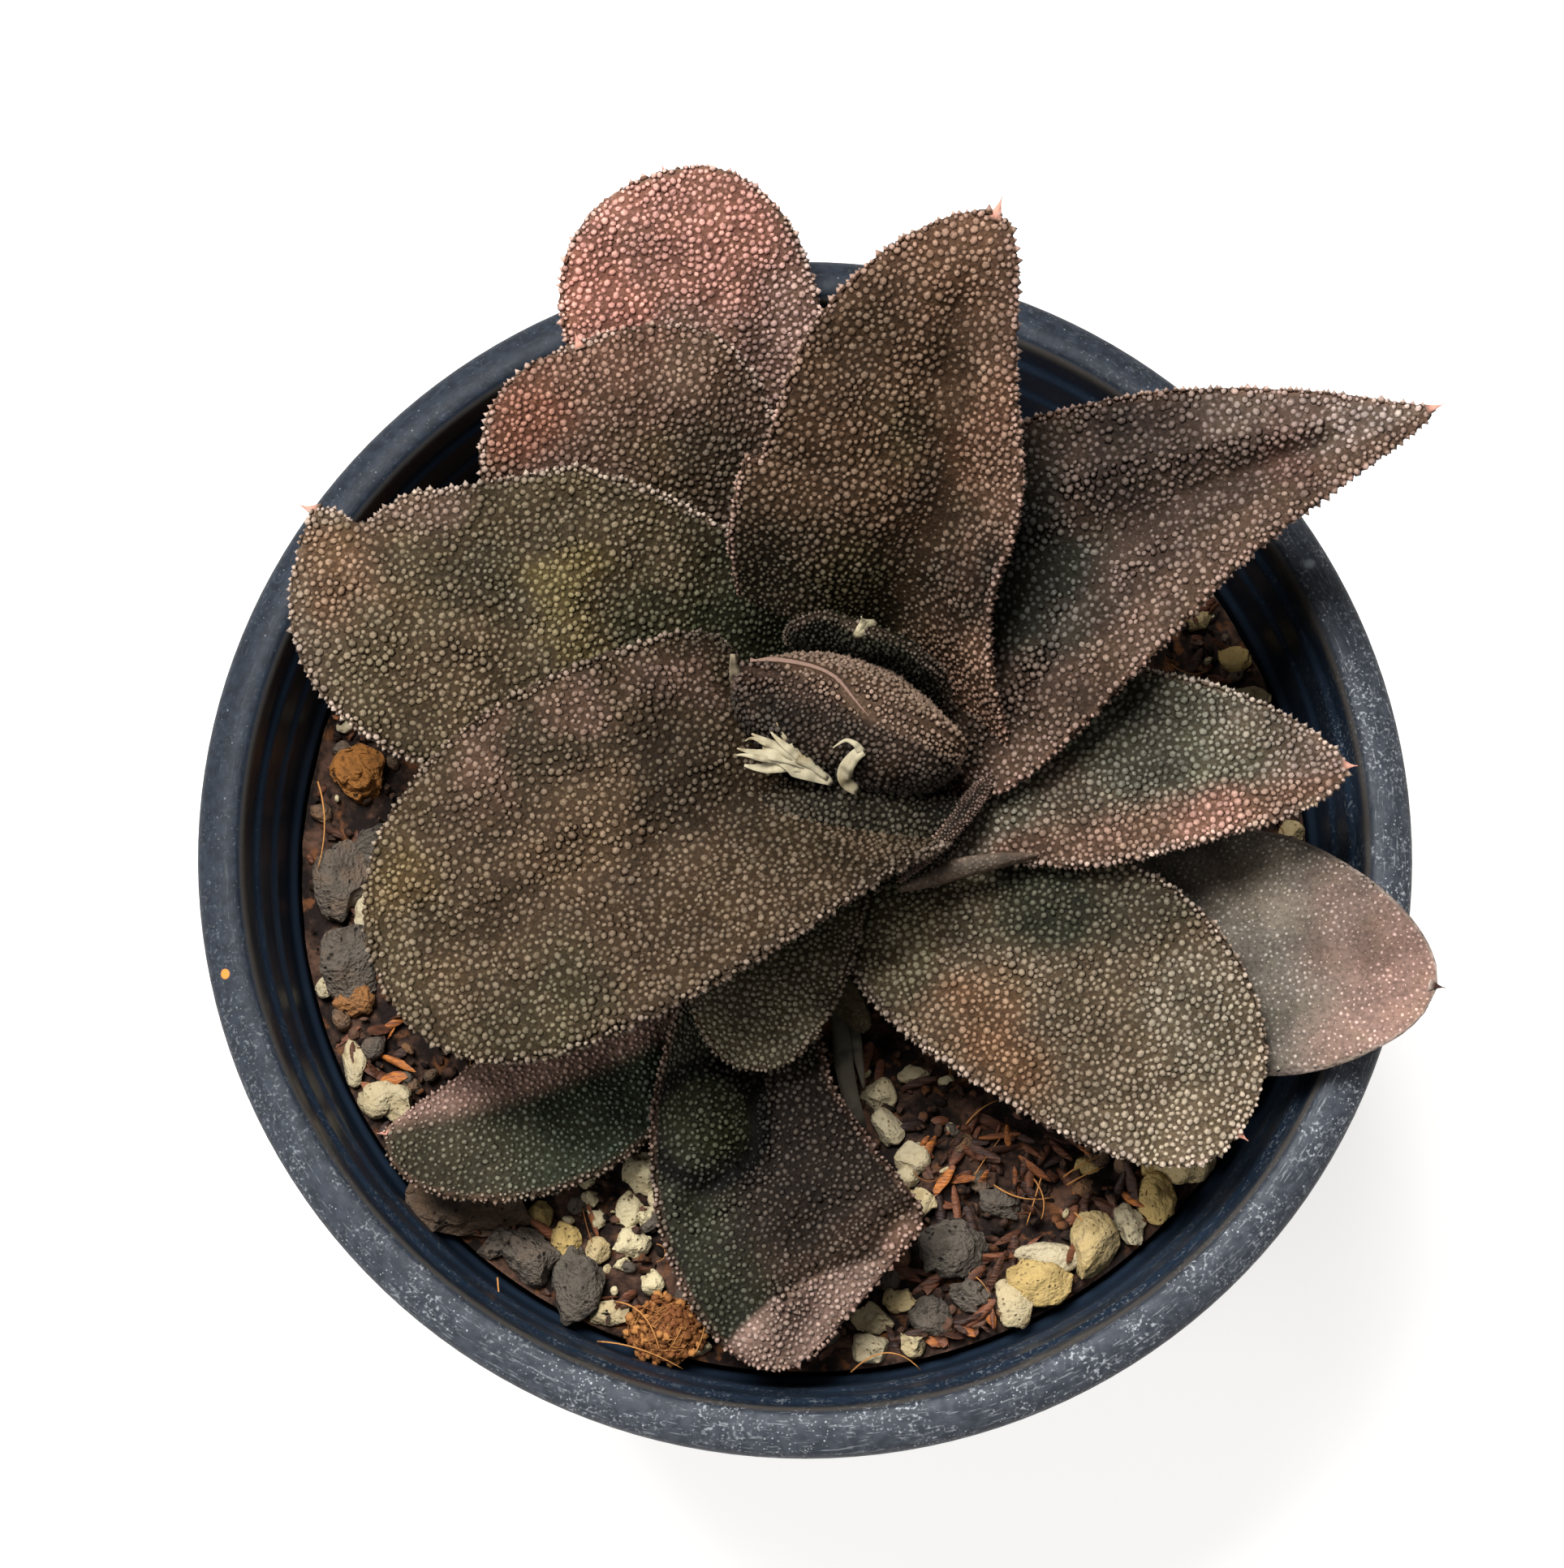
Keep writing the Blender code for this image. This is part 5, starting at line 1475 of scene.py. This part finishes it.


# %% The colours of every leaf
# turns and turned are where the base's colour passes into the middle's, and tip_from where the tip's begins.
# flank is a side, its colour, and where it begins and is full. end_face is a circle seen from above, and so
# is the ring of painted shadow after it, each given by x, y, radius, softness or width, and colour.
ROSE = rgb(170, 140, 128)
PALE_ROSE = rgb(190, 170, 158)
SKINS = {
    "leaf_back": dict(
        # Its dark base colour is partly painted shade where the leaves overlap at the heart.
        base=rgb(50, 37, 31), middle=rgb(132, 106, 98), tip=rgb(188, 140, 129), margin=PALE_ROSE,
        patches=[(-18.0, 47.0, 6.0, rgb(196, 134, 119), 0.6), (-8.0, 50.0, 7.0, rgb(168, 116, 104), 0.5),
                 (-1.0, 36.0, 6.0, rgb(84, 61, 54), 0.6), (0.0, 46.0, 5.0, rgb(148, 120, 112), 0.6),
                 (-5.0, 43.0, 3.0, rgb(112, 90, 82), 0.6)]),
    "leaf_back_left": dict(
        # Its dark base colour is partly painted shade where the leaves overlap at the heart.
        base=rgb(34, 31, 23), middle=rgb(92, 74, 63), tip=rgb(118, 90, 77), margin=PALE_ROSE,
        patches=[(-24.0, 36.0, 6.0, rgb(134, 86, 70), 0.6), (-22.0, 28.0, 5.0, rgb(98, 76, 70), 0.5),
                 (-12.0, 30.0, 5.0, rgb(82, 70, 48), 0.5), (-7.9, 31.0, 4.0, rgb(58, 50, 40), 0.8),
                 (-8.5, 39.6, 3.5, rgb(118, 98, 84), 0.7)]),
    "leaf_left": dict(
        base=rgb(40, 42, 28), middle=rgb(88, 77, 59), tip=rgb(114, 99, 84), margin=PALE_ROSE,
        patches=[(-21.0, 20.0, 4.5, rgb(104, 93, 56), 0.65), (-13.0, 16.0, 5.0, rgb(46, 49, 32), 0.7),
                 (-30.0, 12.0, 6.0, rgb(102, 85, 67), 0.5), (-38.0, 21.0, 4.5, rgb(122, 92, 70), 0.6),
                 (-34.0, 27.0, 4.0, rgb(122, 100, 91), 0.6), (-27.0, 20.0, 4.0, rgb(68, 64, 52), 0.6)]),
    "leaf_front_left": dict(
        base=rgb(52, 43, 32), middle=rgb(84, 69, 54), tip=rgb(96, 84, 66), margin=PALE_ROSE,
        margin_share=0.25,
        patches=[(-12.0, 3.0, 6.0, rgb(54, 44, 32), 0.7), (-33.0, -6.0, 5.0, rgb(110, 92, 62), 0.6),
                 (-19.0, -3.4, 5.0, rgb(104, 85, 66), 0.7), (-22.0, -17.0, 7.0, rgb(82, 77, 58), 0.6),
                 (-2.0, -3.0, 5.0, rgb(67, 58, 43), 0.5), (-22.0, 6.0, 4.0, rgb(64, 56, 43), 0.5),
                 (-28.0, -14.0, 4.0, rgb(98, 82, 64), 0.5), (-27.0, 4.0, 3.5, rgb(120, 96, 84), 0.6),
                 (-19.0, 10.0, 3.5, rgb(116, 92, 82), 0.6), (-11.5, 13.0, 3.5, rgb(98, 78, 70), 0.6)]),
    "leaf_front_left_heel": dict(
        base=rgb(34, 32, 25), middle=rgb(46, 42, 32), tip=rgb(52, 44, 33), margin=rgb(60, 50, 40)),
    "leaf_upright": dict(
        base=rgb(46, 39, 28), middle=rgb(84, 65, 50), tip=rgb(126, 98, 81), margin=ROSE,
        # Its paler right flank is partly its own red and partly painted light on the side where light falls.
        flank=(-1, rgb(108, 84, 70), 0.05, 0.5),
        patches=[(17.0, 30.0, 4.0, rgb(112, 83, 68), 0.6), (12.0, 24.0, 4.0, rgb(58, 47, 38), 0.5),
                 (3.0, 20.0, 4.0, rgb(58, 52, 32), 0.7), (8.0, 30.0, 4.0, rgb(74, 62, 43), 0.6),
                 (15.0, 18.0, 4.6, rgb(36, 28, 22), 0.92), (8.4, 17.6, 2.4, rgb(84, 68, 54), 0.7)]),
    "leaf_right_back": dict(
        base=rgb(62, 50, 42), middle=rgb(90, 75, 68), tip=rgb(152, 136, 129), margin=ROSE,
        # Its paler right flank is painted light on its raised side, and the first three patches are painted
        # shade on the upper-left wing, under leaf_upright, over its own dark green.
        flank=(-1, rgb(108, 89, 79), -0.02, 0.4),
        patches=[(18.0, 21.0, 7.5, rgb(50, 56, 51), 0.9), (16.0, 28.0, 6.0, rgb(54, 54, 51), 0.8),
                 (28.0, 29.0, 5.5, rgb(56, 46, 43), 0.8), (22.0, 9.0, 5.5, rgb(80, 64, 55), 0.8),
                 (40.0, 30.0, 4.0, rgb(118, 86, 78), 0.5), (35.0, 35.0, 4.0, rgb(138, 122, 114), 0.7)]),
    "leaf_right": dict(
        base=rgb(126, 116, 104), middle=rgb(98, 97, 84), tip=rgb(136, 115, 107), margin=PALE_ROSE,
        flank=(-1, rgb(118, 93, 80), 0.0, 0.6),
        patches=[(34.0, -1.0, 4.0, rgb(178, 136, 122), 0.8), (22.0, 1.4, 4.5, rgb(96, 78, 66), 0.6),
                 (28.0, 7.0, 5.5, rgb(60, 58, 51), 0.75), (14.4, -2.4, 3.0, rgb(170, 160, 146), 0.8)]),
    "leaf_front_right": dict(
        # Its pale base colour and the pale patch at (9.5, -9.4) are partly painted light, against the shade
        # of the leaves above; the dark patches at (21, -5) and (30, -6) are painted shade under the margin of
        # leaf_right.
        base=rgb(122, 116, 94), middle=rgb(104, 91, 75), tip=rgb(156, 142, 124), margin=PALE_ROSE,
        patches=[(15.0, -19.0, 6.0, rgb(122, 88, 63), 0.7), (21.0, -5.0, 7.0, rgb(44, 46, 34), 0.95),
                 (30.0, -6.0, 6.0, rgb(66, 62, 50), 0.8), (9.5, -9.4, 4.0, rgb(180, 170, 142), 0.85),
                 (33.0, -16.0, 5.0, rgb(122, 115, 101), 0.6), (10.0, -10.0, 5.0, rgb(98, 84, 64), 0.5)]),
    "leaf_far_right": dict(
        # Its pale base colour and the pale patch at (39, -3.4) are partly painted light, against the shade of
        # leaf_right.
        base=rgb(136, 128, 113), middle=rgb(124, 118, 110), tip=rgb(170, 140, 130), margin=rgb(212, 196, 187),
        ground=(0.52, 0.49, 0.46, 1.0),
        margin_width=0.5, margin_share=1.0, tip_from=(0.74, 0.98), horn=rgb(44, 28, 22),
        patches=[(48.0, -8.0, 6.0, rgb(138, 112, 104), 0.6), (39.0, -3.4, 5.0, rgb(166, 156, 142), 0.8)]),
    "leaf_front": dict(
        base=rgb(78, 74, 60), middle=rgb(44, 36, 31), tip=rgb(72, 58, 50), margin=ROSE,
        turns=0.35, turned=0.55, tip_from=(0.78, 0.94), flank=(-1, rgb(54, 55, 44), 0.1, 0.6),
        end_face=(8.2, -55.0, 19.1, 0.4, rgb(138, 117, 107)), face_ground=(0.66, 0.60, 0.57, 1.0),
        # A near-black ring of painted shadow round the raised lobe.
        shadow_ring=(-8.6, -24.4, 4.9, 1.5, rgb(11, 12, 11)),
        patches=[(9.0, -33.8, 3.4, rgb(150, 122, 110), 0.9), (-8.6, -23.0, 4.0, rgb(56, 60, 42), 0.8)]),
    "leaf_front_small": dict(
        # Its pale colours are partly painted light, against the shade that leaf_front_left throws on it.
        base=rgb(84, 80, 66), middle=rgb(116, 110, 92), tip=rgb(122, 115, 96), margin=ROSE, margin_share=0.3),
    "leaf_low_left": dict(
        # Its dark green base is partly painted shade under the leaves that overlap it.
        base=rgb(48, 58, 49), middle=rgb(72, 82, 69), tip=rgb(80, 76, 62), margin=ROSE,
        tip_from=(0.62, 0.98), end_face=(-43.4, 34.5, 59.6, 1.1, rgb(150, 124, 113)),
        face_ground=(0.62, 0.57, 0.54, 1.0)),
    "leaf_stub": dict(
        base=rgb(70, 70, 60), middle=rgb(84, 84, 74), tip=rgb(92, 90, 78), margin=PALE_ROSE),
    "leaf_right_back_foot": dict(
        base=rgb(50, 45, 42), middle=rgb(42, 36, 32), tip=rgb(58, 48, 42), margin=ROSE),
    "leaf_right_neck": dict(
        base=rgb(150, 138, 132), middle=rgb(128, 120, 117), tip=rgb(124, 108, 102), margin=PALE_ROSE),
    "leaf_shed": dict(
        # Its pale colours are partly painted light, against the shade it lies in.
        base=rgb(104, 98, 80), middle=rgb(122, 115, 94), tip=rgb(108, 102, 84), margin=rgb(34, 34, 30),
        margin_width=0.4),
    "young_leaf_back": dict(
        base=rgb(16, 18, 12), middle=rgb(20, 21, 14), tip=rgb(36, 36, 25), margin=ROSE,
        margin_share=0.15, horn=rgb(168, 158, 128)),
    "young_leaf_centre": dict(
        # Its near-black base and the two dark patches below it are partly painted shade at its foot.
        base=rgb(16, 14, 12), middle=rgb(36, 29, 25), tip=rgb(64, 51, 43), margin=rgb(110, 88, 78),
        margin_width=0.4, margin_share=0.3, horn=rgb(112, 90, 79),
        end_face=(23.6, 42.3, 39.7, 0.4, rgb(112, 92, 78)),
        patches=[(4.8, 6.0, 3.0, rgb(30, 27, 23), 0.7), (-1.0, 7.0, 3.4, rgb(28, 23, 19), 0.8)]),
}
print("skins:", len(SKINS))

# %% [markdown]
# ## The leaves: building
# A leaf's skin is a ball that is drawn out to the leaf's form, ring by ring, so it is closed at both ends.
# The warts are added to the same mesh, and so are the small horny point at the middle of its tip and the
# pale line along the top of the innermost leaf. A few numbers at every point tell the finish where it is:
# how far along the leaf and across it, how far from its margin, how high up a wart, the tone of the wart,
# and whether it is horny. The two old leaf bases and the neck have no warts.

# %% Make the leaves
LEAF_RINGS = 64
LEAF_SIDES = 40
SMOOTH_LEAVES = ("leaf_stub", "leaf_shed", "leaf_right_neck")
# Parts of a leaf that the CAD model leaves out, and the leaf that each goes with
ADDED = {"leaf_front_left_heel": "leaf_front_left", "leaf_shed": "leaf_stub",
         "leaf_right_back_foot": "leaf_right_back", "leaf_right_neck": "leaf_right"}
# The mean radius of a leaf's warts, and the room each takes as a share of its radius
USUAL_WARTS = (0.50, 0.56)
WART_KINDS = {
    "leaf_far_right": (0.42, 0.60),
    "leaf_front": (0.42, 0.61),
    "leaf_low_left": (0.36, 0.72),
    "leaf_front_small": (0.42, 0.61),
    "leaf_right_back_foot": (0.26, 0.66),
    "young_leaf_back": (0.38, 0.64),
    "young_leaf_centre": (0.45, 0.56),
}
# The horny point of each leaf that shows one: its length, width at its foot, and upward bend
POINTS = {
    "leaf_back": (0.7, 0.5, 0.5), "leaf_back_left": (0.8, 0.6, 0.5), "leaf_left": (1.1, 0.8, 0.9),
    "leaf_upright": (1.3, 0.8, 0.5), "leaf_right_back": (0.9, 0.5, 0.5), "leaf_right": (0.7, 0.7, 0.5),
    "leaf_front_right": (1.0, 1.0, 0.3), "leaf_far_right": (0.7, 0.6, 0.2), "leaf_low_left": (0.5, 0.5, 0.2),
    "young_leaf_back": (1.5, 1.3, 0.2),
}
POINT = column(10, 8, lambda share: max(0.05, (1 - share) ** 1.6))
POINT_SUNK = 0.7
# The pale line along the top of a leaf: a low band that narrows towards both ends
CREST = column(8, 30, lambda share: max(0.05, (1 - share) ** 0.8 * min(1.0, 0.3 + 5 * share)))
CREST_STEPS = 14
CREST_HEIGHT = 0.3


def make_skin(leaf):
    """The smooth skin of a leaf, with each point's share of the length and angle round it."""
    bm = bmesh.new()
    bmesh.ops.create_uvsphere(bm, u_segments=LEAF_SIDES, v_segments=LEAF_RINGS, radius=1)
    globe, triangles = shape_of(bm)
    ring = np.arccos(np.clip(globe[:, 2], -1, 1)) / math.pi
    around = np.arctan2(globe[:, 1], globe[:, 0])
    share = 1 - (0.75 * ring + 0.25 * (1 - np.cos(ring * math.pi)) / 2)
    return (leaf_points(leaf, share, around), triangles), share, around


def make_point(leaf, length, width, bend):
    """The horny point that carries on the leaf's middle line past its tip."""
    tip, heading = along(leaf["spine"], np.array([1.0]))
    start = tip[0] - heading[0] * POINT_SUNK
    line = [start, start + heading[0] * (POINT_SUNK + length * 0.4),
            tip[0] + heading[0] * length + (0, 0, bend * length * 0.4)]
    return bent(POINT, line, width, width * 0.55)


def make_crest(skin, path, radius):
    """A smooth raised line over the skin, along a path seen from above."""
    points, triangles = skin
    tree = BVHTree.FromPolygons(points.tolist(), triangles.tolist())
    spots, _ = along([(x, y, 0.0) for x, y in path], np.linspace(0, 1, CREST_STEPS))
    found = [tree.ray_cast(Vector((x, y, 200)), Vector((0, 0, -1)))[0] for x, y, _ in spots]
    line = [point for point in found if point]
    return bent(CREST, line, radius, radius * CREST_HEIGHT)


def build_leaf(name, leaf):
    """One leaf with its warts, as a piece that replaces its CAD node."""
    rng = np.random.default_rng(len(name) * 100 + sum(map(ord, name)))
    skin, share, around = make_skin(leaf)
    parts = [skin]
    values = []

    def note(share, around, wart, tone, point):
        values.append(np.column_stack((share, leaf_across(around), edge_distance(leaf, share, around),
                                       wart, tone, point)))

    note(share, around, share * 0, share * 0, share * 0)
    if name not in SMOOTH_LEAVES:
        size, room = WART_KINDS.get(name, USUAL_WARTS)
        beads, bead_share, bead_around, tone = make_warts(leaf, size, room, rng)
        parts.append(beads)
        each = len(WART[0])
        height = np.tile(0.02 + 0.98 * WART[0][:, 2], len(tone))
        note(np.repeat(bead_share, each), np.repeat(bead_around, each), height,
             np.repeat(tone, each), height * 0)
    horny = []
    if name in POINTS:
        horny.append((make_point(leaf, *POINTS[name]), POINT[0][:, 2] * 3))
    if "crest" in leaf:
        horny.append((make_crest(skin, *leaf["crest"]), np.ones(len(CREST[0]))))
    for shape, horn in horny:
        parts.append(shape)
        ones = np.ones(len(horn))
        note(ones, ones, ones * 0, ones * 0, np.clip(horn, 0, 1))
    named = dict(zip(("share", "across", "edge", "wart", "tone", "point"), np.concatenate(values).T))
    finish = leaf_finish(name + "_skin", SKINS[name])
    nodes = () if name in ADDED else (name,)
    show(name + "_skin", together(parts), finish, ADDED.get(name, name), *nodes, values=named)


for leaf_name, measures in LEAVES.items():
    build_leaf(leaf_name, measures)

# %% [markdown]
# ## Scraps of dry paper
# Two papery scraps of an old flower lie in the heart of the rosette: a long tuft whose end is frayed into
# shreds, and a short curled ribbon. A dry sheath clings to the innermost leaves, and a dry membrane hangs
# from the shed leaf base. Cloth could be simulated for them, but they are only a few strips: each is a flat
# grid with a thin wall, bent along a line, with a little crinkle.

# %% The lines of the strips
# Each strip: the line it follows, and its width at its foot, middle and tip
TUFT = [
    ([(2.2, 2.6, 91.0), (0.2, 3.6, 92.0), (-2.0, 4.7, 92.7), (-3.6, 4.9, 92.9)], (0.5, 2.5, 1.2)),
    ([(1.8, 2.9, 91.4), (-0.3, 4.4, 92.6), (-2.6, 5.4, 93.2), (-4.5, 6.3, 93.5)], (0.4, 1.2, 0.15)),
    ([(0.6, 3.2, 91.6), (-1.6, 3.9, 92.3), (-3.7, 3.6, 92.4), (-5.1, 3.8, 92.7)], (0.4, 1.3, 0.2)),
    ([(0.0, 3.8, 92.0), (-2.6, 4.6, 93.0), (-4.2, 4.8, 93.0), (-5.7, 5.1, 93.3)], (0.5, 1.0, 0.1)),
    ([(0.4, 3.9, 92.0), (-1.0, 5.3, 92.9), (-1.8, 6.3, 93.4), (-2.5, 7.3, 93.9)], (0.6, 1.0, 0.12)),
    ([(-0.4, 4.2, 92.4), (-1.6, 5.2, 93.3), (-2.5, 6.0, 93.4), (-3.0, 6.6, 93.3)], (0.4, 0.6, 0.1)),
    ([(-2.4, 5.2, 92.8), (-3.6, 5.6, 93.4), (-4.4, 5.9, 93.6), (-5.0, 5.6, 94.0)], (0.4, 0.4, 0.08)),
    ([(-2.4, 4.2, 92.6), (-3.8, 4.3, 93.2), (-4.8, 4.5, 93.4), (-5.9, 4.6, 92.9)], (0.5, 0.5, 0.1)),
]
RIBBON = [
    ([(4.3, 1.9, 91.6), (3.2, 2.6, 93.0), (3.5, 3.6, 94.4), (4.6, 4.5, 95.4)], (0.9, 1.3, 0.9)),
    ([(4.5, 4.4, 95.2), (4.0, 5.0, 95.7), (3.3, 5.3, 95.7), (2.6, 5.0, 95.4), (2.2, 4.7, 95.5)],
     (0.7, 0.35, 0.08)),
]
SHEATH = [([(-5.2, 10.6, 88.0), (-5.9, 11.8, 90.6), (-6.1, 13.2, 92.6)], (0.8, 1.1, 0.4))]
MEMBRANE = [
    ([(1.8, -11.6, 73.6), (3.0, -15.0, 72.4), (3.5, -19.0, 71.0), (4.9, -24.2, 69.2)], (1.0, 1.7, 1.3)),
    ([(3.6, -12.6, 73.0), (4.4, -16.4, 71.4), (5.2, -20.6, 70.2)], (0.8, 1.2, 0.3)),
]
print("strips of dry paper:", len(TUFT + RIBBON + SHEATH + MEMBRANE))

# %% Bend the strips
STRIP_STEPS = 16
STRIP_THICKNESS = 0.1


def make_strip(line, widths, number):
    """A thin bent strip whose width follows three measures from foot to tip."""
    bm = bmesh.new()
    bmesh.ops.create_grid(bm, x_segments=3, y_segments=STRIP_STEPS, size=0.5)
    bmesh.ops.solidify(bm, geom=bm.faces[:], thickness=STRIP_THICKNESS)
    points, triangles = shape_of(bm)
    share = np.clip(points[:, 1] + 0.5, 0, 1)
    width = np.interp(share, (0, 0.5, 1), widths)
    crinkle = 0.10 * np.sin(share * 23 + number) + 0.12 * np.sin(points[:, 0] * 7 + number * 2)
    laid = np.column_stack((points[:, 0] * width, points[:, 2] + crinkle * np.minimum(1, width), share))
    return bent((laid, triangles), line, 1, 1)


def paper_finish(name, pale, dry):
    """Dry leaf tissue: pale, with stains and fine fibres."""
    finish = Finish(name, roughness=0.8, specular_ior_level=0.3)
    fibres = finish.noise(1500, 5)
    colour = finish.mix(pale, dry, finish.step(finish.noise(500, 3) + (fibres - 0.5) * 0.5, 0.42, 0.75))
    return finish.feed(colour, bump=fibres, strength=0.4, depth=0.0001)


def build_scrap(name, strips, material, slot, *nodes):
    """A piece of a few bent strips."""
    shapes = [make_strip(line, widths, number) for number, (line, widths) in enumerate(strips)]
    show(name, together(shapes), material, slot, *nodes)


STRAW = rgb(150, 141, 116)
OLD_STRAW = rgb(116, 102, 74)
for scrap_name, scrap_strips in {"dried_flower_long": TUFT, "dried_flower_short": RIBBON}.items():
    build_scrap(scrap_name + "_paper", scrap_strips, paper_finish(scrap_name, STRAW, OLD_STRAW),
                scrap_name, scrap_name)
build_scrap("dry_sheath", SHEATH, paper_finish("dry_sheath", rgb(116, 104, 84), rgb(84, 74, 60)), "stem")
build_scrap("dry_membrane", MEMBRANE, paper_finish("dry_membrane", rgb(64, 59, 48), rgb(38, 34, 28)),
            "leaf_stub")
